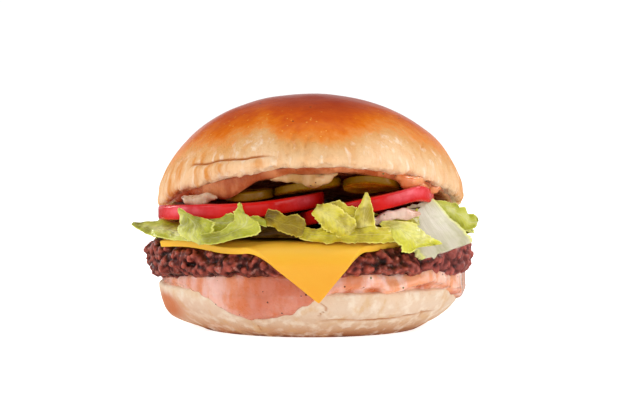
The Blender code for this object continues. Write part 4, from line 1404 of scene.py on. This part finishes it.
@dataclass(frozen=True)
class RoundSlice:
    """A tomato or pickle slice."""

    name: str
    node: str
    fillings: Fillings
    bed: Bed
    x: float
    y: float
    radius: float
    thickness: float
    chambers: int
    # Painted highlights on the rind, soft pale patches where the lights would reflect: azimuth about the slice's own
    # middle, spread, strength.
    blushes: tuple[tuple[float, float, float], ...] = ()
    steps: int = 144

    def build(self, look: bpy.types.Material, slot: Slot) -> bpy.types.Object:
        """Spins the slice with a rounded rim and bends it over what it lies on."""
        soft = 0.2 * self.thickness
        low = [(radius, 0.0) for radius in between(0.0, self.radius - soft, 26)]
        turns = between(-math.pi / 2, 0.0, 5)[1:]
        edge = [(self.radius - soft * (1 - math.cos(turn)), soft * (1 + math.sin(turn))) for turn in turns]
        edge += [(self.radius, height) for height in between(soft, self.thickness - soft, 3)[1:]]
        edge += [(radius, self.thickness - height) for radius, height in reversed(edge[: len(turns) - 1])]
        high = [(radius, self.thickness) for radius, _ in reversed(low)]
        shape = turned(low + edge + high, self.steps)
        skins = shape.verts.layers.float.new("skin")
        spokes = shape.verts.layers.float.new("spoke")
        glows = shape.verts.layers.float.new("blush")
        for point in shape.verts:
            radius = math.hypot(point.co.x, point.co.y)
            angle = math.atan2(point.co.y, point.co.x)
            share = radius / self.radius
            point[skins] = smoothstep(self.radius - 1.2 * soft, self.radius - 0.3 * soft, radius)
            # Painted highlight: stored as blush, a little above the rind's middle height at the listed azimuths
            level = hump(point.co.z / self.thickness, 0.62, 0.3)
            glow = sum(strength * hump(azimuth_of(point.co), middle, wide) for middle, wide, strength in self.blushes)
            point[glows] = level * glow * point[skins]
            wall = abs(math.sin(angle * self.chambers / 2 + self.x))
            inside = smoothstep(0.25, 0.4, share) * (1 - smoothstep(0.78, 0.88, share))
            point[spokes] = 1 - inside * smoothstep(0.25, 0.5, wall)
            uneven = 1 + 0.012 * math.cos(self.chambers * angle + self.y) + 0.01 * math.cos(3 * angle + self.x)
            sunk = 0.25 * (1 - point[spokes]) * (1 if point.co.z > self.thickness / 2 else -1)
            x = point.co.x * uneven + self.x
            y = point.co.y * uneven + self.y
            height = self.fillings.under(self.bed, x, y) + point.co.z - sunk
            height += 0.25 * wander(Vector((x, y, 0)), 9, 71)
            point.co = Vector((x, y, height))
        bmesh.ops.recalc_face_normals(shape, faces=shape.faces)
        return settle(shape, self.name, look, slot, self.node)


# ---------------------------------------------------------------------------------------------------
# Lettuce
# ---------------------------------------------------------------------------------------------------


class LeafKind(Enum):
    """Which finish a leaf takes."""

    GREEN = "lettuce leaf"
    YELLOW = "lettuce heart"
    DIM = "lettuce shade"
    LIME = "lettuce tip"


@dataclass(frozen=True)
class Leaf:
    """One torn piece of leaf, lofted through cross-rows of two edge points and a belly between them.

    Points are in mm. The belly pushes the middle outwards, away from the burger's axis.
    """

    name: str
    rows: tuple[tuple[Point, Point, float], ...]
    tones: tuple[float, float, float] = (1.0, 0.2, 1.0)
    ruffle: float = 0.7
    waves: float = 3.0
    frill: float = 0.08
    thickness: float = 0.4
    seed: int = 81
    fine: tuple[int, int] = (70, 34)
    ends: tuple[float, float] = (0.0, 0.0)
    blister: float = 1.0
    kind: LeafKind = LeafKind.GREEN

    def spot(self, u: float, s: float) -> Vector:
        """A point of the smooth loft, u along the rows and s across them."""
        near = Vector([along([row[0][axis] for row in self.rows], u) for axis in range(3)])
        far = Vector([along([row[1][axis] for row in self.rows], u) for axis in range(3)])
        belly = along([row[2] for row in self.rows], u)
        place = near.lerp(far, s)
        outward = Vector((place.x, place.y, 0)).normalized()
        return place + outward * belly * 4 * s * (1 - s)

    def tone(self, u: float, s: float) -> float:
        """How green the blade is: 0 on a pale rib, 1 at a green edge."""
        near, middle, far = self.tones
        across = near + (middle - near) * smoothstep(0, 0.5, s) if s < 0.5 else middle + (far - middle) * smoothstep(0.5, 1, s)
        start, end = self.ends
        return across + start * (1 - smoothstep(0, 0.3, u)) + end * smoothstep(0.7, 1, u)

    def build(self, look: bpy.types.Material, slot: Slot = Slot.LEAF, node: str = "lettuce") -> bpy.types.Object:
        """Lofts the blade on a grid, frills and ruffles its edges and gives it thickness."""
        shape = bmesh.new()
        bmesh.ops.create_grid(shape, x_segments=self.fine[0], y_segments=self.fine[1], size=0.5)
        tones = shape.verts.layers.float.new("tone")
        edges = shape.verts.layers.float.new("edge")
        waves = shape.verts.layers.float.new("wave")
        chart = shape.loops.layers.uv.new("UVMap")
        for face in shape.faces:
            for corner in face.loops:
                corner[chart].uv = (corner.vert.co.x + 0.5, corner.vert.co.y + 0.5)
        for point in shape.verts:
            u = point.co.x + 0.5
            s = point.co.y + 0.5
            rim = abs(2 * s - 1)
            side = 1 if s > 0.5 else 0
            torn = noise.noise(Vector((u * 9, side * 5.0, self.seed)))
            torn += 0.9 * noise.noise(Vector((u * 22, side * 9.0, self.seed)))
            torn += 0.7 * noise.noise(Vector((u * 48, side * 9.0, self.seed)))
            reach = 0.5 + (s - 0.5) * (1 + 2.2 * self.frill * torn * rim)
            point[edges] = rim
            u += 0.05 * (2 * u - 1) ** 5 * noise.noise(Vector((s * 7, self.seed, 3)))
            point[waves] = math.sin(math.tau * self.waves * u + 2.2 * noise.noise(Vector((u * 4, side * 3.0, self.seed + 2))) + side * 1.9)
            point[tones] = self.tone(u, s)
            point.co = self.spot(u, reach)

        def ruffled(point: bmesh.types.BMVert) -> float:
            """Waves that grow towards the edge, and blisters."""
            blister = 0.5 * (abs(wander(point.co, 4.2, self.seed)) - 0.25) + 0.2 * wander(point.co, 1.9, self.seed + 1)
            return 1.35 * self.ruffle * point[waves] * point[edges] ** 1.6 + self.blister * blister

        swell(shape, ruffled)
        piece = settle(shape, self.name, look, slot, node)
        wall = piece.modifiers.new("thickness", "SOLIDIFY")
        wall.thickness = self.thickness * MM
        wall.offset = 0.0
        return piece


def rim_leaf(name: str, start: float, end: float, seed: int) -> Leaf:
    """A frilled leaf round the sides or the back, where it runs along the burger's edge.

    Args:
        name: The piece's name.
        start: Azimuth of one end in degrees.
        end: Azimuth of the other end.
        seed: Picks its own unevenness.

    Returns:
        The leaf.
    """
    pick = random.Random(seed)
    rows = []
    count = 9
    for number, azimuth in enumerate(between(start, end, count)):
        taper = math.sin(math.pi * (0.12 + 0.76 * number / count))
        angle = math.radians(azimuth)
        out = 50 + 7.0 * taper + pick.uniform(-1.6, 1.6)
        low = 35.2 - 2.0 * taper + pick.uniform(-1.2, 1.2)
        high = 37.2 + 1.6 * taper + pick.uniform(-1.0, 1.0)
        near = (out * math.cos(angle), out * math.sin(angle), low)
        far = (48.0 * math.cos(angle), 48.0 * math.sin(angle), high)
        rows.append((near, far, 1.2 * taper + pick.uniform(-0.6, 0.6)))
    return Leaf(name, tuple(rows), (1.0, 0.35, 0.1), 1.1, (end - start) / 11, 0.12, 0.4, seed, (110, 26))


LEAVES = (
    Leaf(
        "leaf_tongue",
        (
            ((-60.2, -25.5, 36.6), (-60.0, -25.0, 37.2), 0.1),
            ((-57.0, -29.0, 34.9), (-56.0, -25.0, 38.0), 0.6),
            ((-53.3, -33.0, 33.6), (-50.6, -27.5, 38.2), 0.9),
            ((-48.6, -38.0, 32.9), (-45.2, -32.0, 38.2), 1.0),
            ((-42.4, -44.0, 32.7), (-40.5, -38.5, 37.8), 1.0),
            ((-37.0, -49.0, 32.4), (-36.0, -44.0, 37.0), 0.8),
        ),
        tones=(0.75, 0.1, 1.0), ruffle=0.35, waves=2.3, frill=0.05, seed=82, ends=(0.3, 0.0),
    ),
    Leaf(
        "leaf_left_standing",
        (
            ((-43.1, -46.6, 43.5), (-42.5, -47.0, 43.3), 0.0),
            ((-42.7, -47.2, 41.6), (-39.4, -48.8, 41.7), 0.3),
            ((-42.5, -47.8, 39.8), (-35.6, -51.4, 40.9), 0.6),
            ((-43.0, -48.0, 38.2), (-31.0, -54.8, 39.0), 0.8),
            ((-43.0, -48.4, 36.4), (-31.4, -55.4, 36.9), 0.8),
            ((-41.6, -50.0, 34.6), (-33.4, -55.4, 35.4), 0.6),
            ((-39.2, -52.2, 33.0), (-33.2, -55.8, 33.8), 0.5),
            ((-36.2, -54.4, 32.0), (-33.8, -56.0, 32.2), 0.1),
        ),
        tones=(0.2, 0.35, 0.9), ruffle=0.4, waves=2.0, frill=0.06, seed=83,
    ),
    Leaf(
        "leaf_left_behind",
        (
            ((-41.0, -43.0, 36.2), (-40.5, -42.0, 41.4), 0.3),
            ((-35.0, -46.8, 35.8), (-34.5, -45.8, 41.6), 0.6),
            ((-29.0, -49.8, 35.8), (-28.5, -48.8, 41.8), 0.6),
            ((-22.5, -51.6, 36.2), (-22.0, -50.6, 41.2), 0.3),
        ),
        tones=(0.9, 0.6, 0.9), ruffle=0.5, waves=2.4, frill=0.08, seed=97, fine=(48, 24),
    ),
    Leaf(
        "leaf_left_curl",
        (
            ((-35.5, -55.4, 32.4), (-35.0, -55.0, 35.2), 0.2),
            ((-30.6, -57.2, 32.4), (-30.6, -55.4, 36.4), 0.5),
            ((-25.6, -58.0, 33.8), (-27.2, -55.2, 37.2), 0.6),
            ((-20.6, -58.2, 34.8), (-25.2, -54.6, 39.4), 0.9),
            ((-16.4, -57.6, 36.0), (-24.4, -54.2, 41.8), 1.0),
            ((-16.6, -57.0, 38.9), (-23.9, -54.0, 43.4), 0.8),
            ((-20.4, -55.6, 41.2), (-23.4, -54.0, 44.7), 0.3),
            ((-22.4, -54.4, 45.2), (-22.9, -54.2, 45.7), 0.0),
        ),
        tones=(0.75, 0.35, 0.6), ruffle=0.35, waves=3.1, frill=0.05, seed=84,
    ),
    Leaf(
        "leaf_left_link",
        (
            ((-24.0, -54.6, 39.2), (-23.6, -54.2, 41.0), 0.2),
            ((-20.6, -54.8, 38.8), (-20.6, -54.2, 40.8), 0.3),
            ((-17.4, -55.0, 38.8), (-17.6, -54.2, 41.2), 0.3),
            ((-14.2, -54.8, 37.8), (-14.4, -54.0, 40.2), 0.3),
        ),
        tones=(0.9, 0.6, 0.9), ruffle=0.3, waves=1.5, frill=0.06, seed=85, fine=(36, 16),
    ),
    Leaf(
        "leaf_middle_fold",
        (
            ((-14.8, -54.0, 38.4), (-14.2, -53.4, 40.8), 0.2),
            ((-13.4, -54.8, 38.2), (-13.8, -54.0, 43.5), 0.5),
            ((-11.0, -55.8, 37.2), (-11.2, -54.6, 43.1), 0.9),
            ((-8.4, -56.4, 36.2), (-8.6, -55.0, 41.4), 1.0),
            ((-6.0, -56.8, 35.2), (-5.4, -55.2, 41.9), 1.0),
            ((-4.2, -56.8, 34.5), (-3.0, -55.8, 40.9), 0.8),
            ((-2.6, -56.6, 36.0), (-1.4, -56.2, 38.6), 0.3),
        ),
        tones=(0.7, 0.8, 1.0), ruffle=0.35, waves=2.4, frill=0.06, seed=86,
        kind=LeafKind.DIM,
    ),
    Leaf(
        "leaf_middle_petal",
        (
            ((0.6, -55.2, 42.2), (2.4, -54.8, 45.0), 0.1),
            ((1.4, -56.0, 40.6), (5.6, -55.0, 45.4), 0.8),
            ((3.6, -56.8, 38.4), (9.0, -55.4, 44.2), 1.4),
            ((6.0, -57.4, 36.4), (12.2, -56.0, 41.8), 1.5),
            ((8.6, -57.8, 35.0), (14.5, -56.6, 39.0), 1.2),
            ((11.4, -57.8, 34.6), (14.2, -57.2, 36.8), 0.4),
        ),
        tones=(0.55, 0.2, 0.35), ruffle=0.35, waves=2.7, frill=0.07, seed=87,
        kind=LeafKind.YELLOW,
    ),
    Leaf(
        "leaf_middle_back",
        (
            ((4.6, -53.6, 41.0), (5.2, -53.4, 45.2), 0.2),
            ((8.0, -54.0, 40.0), (8.8, -53.6, 46.2), 0.4),
            ((12.0, -54.2, 38.6), (11.6, -53.8, 44.8), 0.5),
            ((15.6, -54.2, 37.6), (15.0, -53.8, 44.2), 0.3),
        ),
        tones=(0.6, 0.5, 0.8), ruffle=0.4, waves=2.0, frill=0.07, seed=88, fine=(44, 30),
        kind=LeafKind.YELLOW,
    ),
    Leaf(
        "leaf_middle_tip",
        (
            ((12.6, -55.0, 37.4), (21.2, -54.8, 37.6), 0.4),
            ((13.8, -54.6, 40.8), (20.3, -54.4, 42.2), 0.6),
            ((15.5, -54.0, 44.2), (19.7, -53.8, 45.2), 0.4),
            ((16.8, -53.4, 46.8), (19.1, -53.2, 47.2), 0.2),
            ((17.8, -52.9, 48.8), (18.2, -52.9, 48.8), 0.0),
        ),
        tones=(0.5, 0.0, 0.45), ruffle=0.3, waves=1.6, frill=0.05, seed=89, fine=(60, 30),
        kind=LeafKind.YELLOW,
    ),
    Leaf(
        "leaf_middle_band",
        (
            ((-3.6, -55.8, 34.4), (-2.4, -54.8, 37.6), 0.3),
            ((0.8, -57.0, 33.2), (1.6, -55.4, 37.4), 0.8),
            ((5.4, -57.6, 32.8), (6.0, -55.8, 37.4), 1.0),
            ((10.0, -57.6, 33.0), (11.0, -55.8, 37.4), 1.0),
            ((14.8, -57.4, 32.8), (15.6, -55.0, 38.0), 1.0),
            ((19.6, -57.0, 32.8), (20.4, -54.0, 38.0), 1.0),
            ((24.2, -55.8, 32.8), (24.6, -53.0, 37.4), 0.8),
            ((27.6, -54.2, 33.0), (27.4, -52.4, 36.0), 0.2),
        ),
        kind=LeafKind.YELLOW,
        tones=(0.95, 0.55, 0.7), ruffle=0.4, waves=4.3, frill=0.08, seed=90, fine=(96, 30),
    ),
    Leaf(
        "leaf_right_star",
        (
            ((22.4, -51.2, 38.4), (23.0, -50.6, 39.1), 0.0),
            ((24.4, -53.2, 36.6), (27.5, -50.0, 39.7), 0.7),
            ((26.4, -54.8, 34.4), (31.6, -50.0, 39.0), 1.0),
            ((28.6, -56.0, 31.8), (35.4, -50.6, 37.2), 1.1),
            ((30.4, -56.6, 29.5), (37.6, -51.2, 35.4), 0.8),
            ((34.0, -56.0, 31.0), (39.8, -51.6, 33.9), 0.5),
            ((38.6, -54.2, 31.7), (42.6, -51.6, 31.9), 0.0),
        ),
        tones=(0.65, 0.25, 0.05), ruffle=0.3, waves=2.2, frill=0.06, seed=91, ends=(0.0, 0.6),
        kind=LeafKind.LIME,
    ),
    Leaf(
        "leaf_right_inner",
        (
            ((20.5, -47.0, 38.6), (21.0, -44.0, 41.0), 0.1),
            ((26.0, -48.0, 38.6), (26.5, -43.0, 41.6), 0.4),
            ((31.0, -47.0, 38.0), (31.5, -41.0, 42.2), 0.5),
            ((35.5, -44.0, 37.6), (35.5, -38.5, 42.8), 0.3),
        ),
        tones=(0.5, 0.6, 0.8), ruffle=0.4, waves=2.2, frill=0.08, seed=92, fine=(48, 24),
        kind=LeafKind.LIME,
    ),
    Leaf(
        "leaf_right_lobe",
        (
            ((41.4, -31.4, 43.4), (41.0, -31.0, 45.2), 0.1),
            ((44.0, -29.6, 41.0), (46.2, -27.0, 44.8), 0.4),
            ((46.8, -27.6, 38.6), (49.2, -25.0, 43.4), 0.7),
            ((49.4, -24.8, 36.2), (52.6, -22.4, 42.3), 0.9),
            ((52.2, -22.8, 34.5), (54.0, -21.0, 40.2), 0.9),
            ((55.6, -21.2, 35.8), (56.6, -20.2, 39.4), 0.4),
            ((56.9, -20.4, 38.0), (57.1, -20.0, 38.9), 0.0),
        ),
        tones=(0.9, 0.35, 0.75), ruffle=0.45, waves=2.6, frill=0.09, seed=93,
    ),
)

RIB_LEAF = Leaf(
    "lettuce_rib_leaf",
    (
        ((31.6, -39.8, 43.0), (40.4, -31.8, 45.3), 0.2),
        ((29.6, -42.8, 40.4), (43.2, -32.4, 42.6), 0.5),
        ((29.4, -45.4, 37.2), (46.6, -34.0, 38.8), 0.7),
        ((30.8, -47.8, 33.8), (50.2, -35.6, 35.4), 0.6),
        ((33.2, -49.0, 30.0), (52.4, -36.8, 33.2), 0.4),
        ((36.0, -49.8, 26.6), (53.6, -37.4, 31.8), 0.2),
    ),
    tones=(0.1, 0.0, 0.3), ruffle=0.25, waves=1.4, frill=0.03, thickness=1.9, seed=94, fine=(60, 40), blister=0.12,
    ends=(0.5, -0.3),
)


@dataclass(frozen=True)
class LettuceCore:
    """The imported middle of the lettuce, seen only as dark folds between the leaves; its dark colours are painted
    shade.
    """

    cheese: CheeseSlice
    fillings: Fillings
    radius: float = 50.5
    steps: int = 264

    def low(self, x: float, y: float) -> float:
        """It rests on the cheese, and past the cheese on the patty."""
        on_patty = self.cheese.patty.top + GAP
        on_cheese = self.cheese.under + self.cheese.thickness + 2.5 * GAP
        return on_patty + (on_cheese - on_patty) * self.cheese.cover(x, y)

    def high(self, x: float, y: float) -> float:
        """It fills the space up to the tomato slices."""
        left = self.fillings.under(Bed.TOMATO_FRONT_LEFT, x, min(y, 5))
        right = self.fillings.under(Bed.TOMATO_FRONT_RIGHT, max(x, -5), min(y, -5)) + max(0.0, -6 - x) * 0.9
        front = min(left, right)
        back = self.fillings.under(Bed.TOMATO_BACK, x, y)
        share = smoothstep(-14, -4, y)
        return min(front, front + (back - front) * share, self.fillings.face.ceiling(x, y)) - GAP - 1.1

    def build(self, look: bpy.types.Material) -> bpy.types.Object:
        """A disc whose rim is folded into thin layers."""
        flat = between(0.0, self.radius, 24)
        rim = [(self.radius, share) for share in between(1.0, 0.0, 14)[1:-1]]
        shape = turned([(r, 1.0) for r in flat] + rim + [(r, 0.0) for r in reversed(flat)], self.steps)
        tones = shape.verts.layers.float.new("tone")
        for point in shape.verts:
            share = point.co.z
            x, y = point.co.x, point.co.y
            low = self.low(x, y)
            place = Vector((x, y, low + (self.high(x, y) - low) * share))
            outer = smoothstep(0.8, 1.0, math.hypot(x, y) / self.radius)
            layers = math.sin(8 * share + 3 * wander(Vector((x, y, 0)), 9, 95))
            push = 1 + outer * (0.03 * layers + 0.05 * wander(place, 7, 96))
            point.co = Vector((x * push, y * push, place.z))
            point[tones] = 0.6 + 0.3 * layers
        bmesh.ops.recalc_face_normals(shape, faces=shape.faces)
        return settle(shape, "lettuce_core", look, Slot.LEAF, "lettuce")


# ---------------------------------------------------------------------------------------------------
# Studio
# ---------------------------------------------------------------------------------------------------


@dataclass(frozen=True)
class Softbox:
    """One rectangular light, aimed at the burger's middle. Places are in metres."""

    name: str
    place: Point
    size: tuple[float, float]
    power: float

    def hang(self, target: Vector) -> None:
        """Puts the light in the scene."""
        lamp = bpy.data.lights.new(self.name, "AREA")
        lamp.shape = "RECTANGLE"
        lamp.size, lamp.size_y = self.size
        lamp.energy = self.power
        holder = bpy.data.objects.new(self.name, lamp)
        holder.location = self.place
        holder.rotation_euler = (target - Vector(self.place)).to_track_quat("-Z", "Y").to_euler()
        bpy.context.scene.collection.objects.link(holder)


@dataclass(frozen=True)
class Studio:
    """A white floor, even white surroundings, soft lights and the camera."""

    target: Point = (0.0, 0.0, 0.0404)
    distance: float = 0.700
    elevation: float = 3.0
    lens: float = 115.9
    floor_side: float = 8.0
    ambient: float = 0.5
    mirrored: float = 0.1
    lights: tuple[Softbox, ...] = (
        Softbox("key_left", (-0.55, -0.65, 0.5), (0.4, 0.4), 1.4),
        Softbox("left_side", (-0.85, -0.02, 0.22), (0.4, 0.36), 0.9),
        Softbox("right_side", (0.8, -0.42, 0.2), (0.5, 0.36), 1.7),
        Softbox("front_low", (0.05, -1.0, 0.1), (1.2, 0.16), 0.9),
        Softbox("top", (0.0, 0.05, 0.8), (0.6, 0.6), 1.2),
        Softbox("right_behind", (0.62, 0.22, 0.7), (0.26, 0.26), 2.6),
        Softbox("left_behind", (-0.76, 0.52, 0.36), (0.2, 0.34), 1.8),
        Softbox("backdrop", (0.0, 1.1, 0.2), (2.4, 0.4), 2.4),
    )

    def build(self) -> None:
        """Floor, surroundings, lights and camera."""
        self.lay_floor()
        self.surround()
        for light in self.lights:
            light.hang(Vector(self.target))
        self.aim()
        bpy.context.scene.view_settings.view_transform = "Standard"

    def lay_floor(self) -> None:
        """The pale floor, with a glow of its own that keeps its shadow soft."""
        shape = bmesh.new()
        bmesh.ops.create_grid(shape, x_segments=2, y_segments=2, size=self.floor_side / 2)
        mesh = bpy.data.meshes.new("floor")
        shape.to_mesh(mesh)
        shape.free()
        look = bpy.data.materials.new("studio floor")
        look.use_nodes = True
        graph = Graph(look.node_tree)
        shader = look.node_tree.nodes["Principled BSDF"]
        cloud = graph.noise(graph.place(), 3.0, 2.0)
        white = graph.mix(cloud, (0.88, 0.88, 0.88, 1), (0.9, 0.9, 0.9, 1))
        reflected = graph.add("ShaderNodeLightPath").outputs["Is Glossy Ray"]
        graph.put(shader.inputs["Base Color"], graph.mix(reflected, white, (0.12, 0.12, 0.12, 1)))
        graph.put(shader.inputs["Emission Color"], white)
        shader.inputs["Roughness"].default_value = 0.9
        graph.put(shader.inputs["Emission Strength"], self.glow(graph, 0.45, 0.86))
        mesh.materials.append(look)
        floor = bpy.data.objects.new("floor", mesh)
        bpy.context.scene.collection.objects.link(floor)

    def surround(self) -> None:
        """White all round: full white behind the burger, a little softer as light."""
        world = bpy.data.worlds.new("studio")
        world.use_nodes = True
        graph = Graph(world.node_tree)
        background = world.node_tree.nodes["Background"]
        background.inputs["Color"].default_value = (1, 1, 1, 1)
        graph.put(background.inputs["Strength"], self.glow(graph, self.ambient, 1.05))
        bpy.context.scene.world = world

    def glow(self, graph: Graph, light: float, seen: float) -> bpy.types.NodeSocket:
        """How bright a white surface is: as light on matt surfaces, as seen directly, and dimmer in reflections."""
        path = graph.add("ShaderNodeLightPath")
        direct = graph.math("MULTIPLY", path.outputs["Is Camera Ray"], seen - light)
        mirrored = graph.math("MULTIPLY", path.outputs["Is Glossy Ray"], self.mirrored - light)
        return graph.math("ADD", graph.math("ADD", direct, mirrored), light)

    def aim(self) -> None:
        """The camera, a little above level in front of the burger."""
        data = bpy.data.cameras.new("camera")
        data.lens = self.lens
        data.sensor_width = 36.0
        camera = bpy.data.objects.new("camera", data)
        angle = math.radians(self.elevation)
        target = Vector(self.target)
        camera.location = target + Vector((0, -math.cos(angle), math.sin(angle))) * self.distance
        camera.rotation_euler = (target - camera.location).to_track_quat("-Z", "Y").to_euler()
        bpy.context.scene.collection.objects.link(camera)
        bpy.context.scene.camera = camera


# ---------------------------------------------------------------------------------------------------
# Burger
# ---------------------------------------------------------------------------------------------------


@dataclass(frozen=True)
class Burger:
    """All the layers, from the bottom up."""

    effects: Effects
    face: CutFace = field(default_factory=CutFace)
    heel: Heel = field(default_factory=Heel)
    patty: Patty = field(default_factory=Patty)

    def build_bread(self) -> None:
        """Heel and crown."""
        side = SideFinish("bun side", self.effects, roughness=0.6, specular=0.25)
        crust = CrustFinish("bun crust", self.effects, specular=0.15, coat_roughness=0.14, gleam=srgb(255, 150, 60))
        self.heel.build(side.dress())
        Crown(self.face).build(crust.dress())

    def build_sauces(self) -> None:
        """The sauce on the heel and the sauce under the crown."""
        pink = SauceFinish("burger sauce", self.effects, 0.3, 0.4, 0.6, 0.1, 0.25, 1.5, speckle=1.8)
        pink_look = pink.dress()
        LowerSauce(self.heel, self.patty).build(pink_look)
        # Painted shade: the burger sauce again in darker colours, for the shade under the crown
        dull = SauceFinish(
            "sauce under the crown painted darker for shade", self.effects, 0.3, 0.3, 0.3, 0.12,
            thick=srgb(222, 142, 92), thin=srgb(180, 88, 44), red=srgb(158, 64, 26),
        )
        UpperSauce(self.face).build(dull.dress())
        cream = SauceFinish(
            "cream sauce", self.effects, 0.3, 0.4, 0.4, 0.12, 0.35, 1.5,
            thick=srgb(220, 178, 128), thin=srgb(198, 146, 84), red=srgb(200, 140, 90),
        )
        cream_look = cream.dress()
        blush = SauceFinish(
            "sauce on the pickles", self.effects, 0.3, 0.4, 0.5, 0.1, 0.25, 1.5,
            thick=srgb(214, 178, 150), thin=srgb(184, 140, 108), red=srgb(170, 92, 60),
            speckle=3.0,
        ).dress()
        amber_look = SauceFinish(
            "sauce over the tomato", self.effects, 0.3, 0.4, 0.5, 0.1, 0.25, 1.5,
            thick=srgb(240, 160, 104), thin=srgb(222, 124, 66), red=srgb(190, 90, 46),
        ).dress()
        pale_look = SauceFinish(
            "sauce under the tomato", self.effects, 0.3, 0.4, 0.4, 0.12, 0.35, 1.5,
            thick=srgb(238, 206, 190), thin=srgb(214, 164, 136), red=srgb(200, 130, 90),
        ).dress()
        Dab("sauce_cream", (-2.0, -43.6, 53.4), (23, 5, 6.6), 0, -6, 41).build(cream_look)
        Dab("sauce_smear", (-36.5, -41.0, 46.2), (14, 7, 4.8), -30, -4, 49).build(blush)
        Dab("sauce_dab", (27.0, -46.2, 40.8), (19, 4.5, 5.0), 12, -6, 45).build(pale_look)
        Dab("sauce_streak", (36.0, -36.0, 50.4), (19, 5, 4.2), 34, 9, 47).build(amber_look)
        Dab("sauce_patch", (32.6, -39.4, 52.0), (11, 5, 5.6), 34, 14, 43).build(amber_look)

    def build_filling(self) -> None:
        """Patty, cheese, tomato and pickle slices."""
        self.patty.build(BeefFinish("beef", self.effects, 0.5, 0.18, 0.28, 0.12).dress())
        cheese = CheeseSlice(self.patty)
        yellow = CheeseFinish("cheese", self.effects, 0.4, 0.35, 0.1, 0.3, 0.2, 2.0, (1.0, 0.6, 0.2))
        cheese.build(yellow.dress())
        fillings = Fillings(self.face)
        red = TomatoFinish("tomato", self.effects, 0.3, 0.05, 0.34, 0.1).dress()
        # The last column lists each slice's painted highlights
        for name, bed, x, y, radius, blushes in (
            ("tomato_front_left", Bed.TOMATO_FRONT_LEFT, -23.0, -22.5, 28.0, ((-134, 22, 0.8), (-42, 9, 0.6))),
            ("tomato_front_right", Bed.TOMATO_FRONT_RIGHT, 18.0, -27.0, 23.5, ((-50, 17, 1.0), (-18, 9, 0.6))),
            ("tomato_back_left", Bed.TOMATO_BACK, -17.0, 26.5, 20.0, ((100, 20, 0.6),)),
            ("tomato_back_right", Bed.TOMATO_BACK, 25.0, 19.0, 20.0, ((30, 20, 0.6),)),
        ):
            slice_ = RoundSlice(f"{name}_slice", name, fillings, bed, x, y, radius, fillings.tomato, 7, blushes)
            slice_.build(red, Slot.TOMATO)
        olive = PickleFinish("pickle", self.effects, 0.2, 0.2, 0.12, 0.1, 0.2, 1.5, (1.0, 0.6, 0.1)).dress()
        for name, bed, x, y, radius, thickness in (
            ("pickle_left", Bed.PICKLE_LEFT, -20.5, -33.0, 8.2, 3.0),
            ("pickle_middle", Bed.PICKLE_MIDDLE, -1.0, -33.4, 11.2, 2.6),
            ("pickle_right", Bed.PICKLE_RIGHT, 20.4, -34.0, 9.6, fillings.hanging),
        ):
            RoundSlice(f"{name}_slice", name, fillings, bed, x, y, radius, thickness, 3).build(olive, Slot.PICKLE)
        self.build_lettuce(cheese, fillings)

    def build_lettuce(self, cheese: CheeseSlice, fillings: Fillings) -> None:
        """Core, front leaves, rib and the leaves round the sides and back."""
        green = LeafFinish(LeafKind.GREEN.value, self.effects, 0.34, 0.5, 0.25, 0.15, 0.3, 1.5, (0.7, 0.8, 0.15)).dress()
        yellow = LeafFinish(
            LeafKind.YELLOW.value, self.effects, 0.34, 0.5, 0.25, 0.15, 0.3, 1.5, (0.8, 0.7, 0.15),
            middle=srgb(244, 228, 128), blade=srgb(222, 206, 56), edge=srgb(186, 168, 10),
            shade=srgb(150, 126, 2), vein=srgb(240, 222, 130), rim=srgb(250, 234, 118),
        ).dress()
        lime = LeafFinish(
            LeafKind.LIME.value, self.effects, 0.34, 0.5, 0.25, 0.15, 0.3, 1.5, (0.7, 0.8, 0.15),
            middle=srgb(242, 236, 146), blade=srgb(226, 220, 74), edge=srgb(200, 194, 26),
            shade=srgb(160, 148, 8), vein=srgb(240, 234, 150), rim=srgb(246, 242, 122),
        ).dress()
        # Painted shade: darker copies of the leaf colours for the folds deep between the leaves
        deep = LeafFinish(
            "lettuce folds painted dark for shade", self.effects, 0.5, 0.3, 0.0, 0.2, 0.1, 1.0,
            middle=srgb(134, 106, 40), blade=srgb(104, 74, 16), edge=srgb(82, 54, 6),
            shade=srgb(50, 24, 2), vein=srgb(116, 92, 34),
        ).dress()
        white = LeafFinish(
            "lettuce rib", self.effects, 0.4, 0.3, 0.12, 0.2, 0.3, 2.0, (0.8, 0.9, 0.6),
            middle=srgb(206, 197, 174), blade=srgb(202, 196, 160), edge=srgb(204, 202, 140),
            shade=srgb(178, 172, 130), vein=srgb(224, 216, 196), veined=0.0, bumps=0.15, streaks=0.8,
        ).dress()
        LettuceCore(cheese, fillings).build(deep)
        dim = LeafFinish(
            LeafKind.DIM.value, self.effects, 0.4, 0.4, 0.15, 0.2, 0.2, 1.5, (0.8, 0.8, 0.1),
            middle=srgb(222, 204, 70), blade=srgb(184, 160, 24), edge=srgb(148, 122, 2),
            shade=srgb(88, 60, 0), vein=srgb(206, 184, 70), rim=srgb(220, 200, 80),
        ).dress()
        kinds = {LeafKind.GREEN: green, LeafKind.YELLOW: yellow, LeafKind.LIME: lime, LeafKind.DIM: dim}
        for leaf in LEAVES:
            leaf.build(kinds[leaf.kind])
        RIB_LEAF.build(white, Slot.RIB, "lettuce_rib")
        for number, (start, end) in enumerate(((-22, 22), (14, 62), (54, 104), (96, 146), (138, 186), (178, 212)), start=1):
            rim_leaf(f"leaf_rim_{number}", start, end, 100 + number).build(green)


def main() -> None:
    """Builds the burger and its studio."""
    logging.basicConfig(level=logging.INFO, format="%(message)s")
    burger = Burger(Effects())
    burger.build_bread()
    burger.build_sauces()
    burger.build_filling()
    Studio().build()


if __name__ == "__main__":
    main()
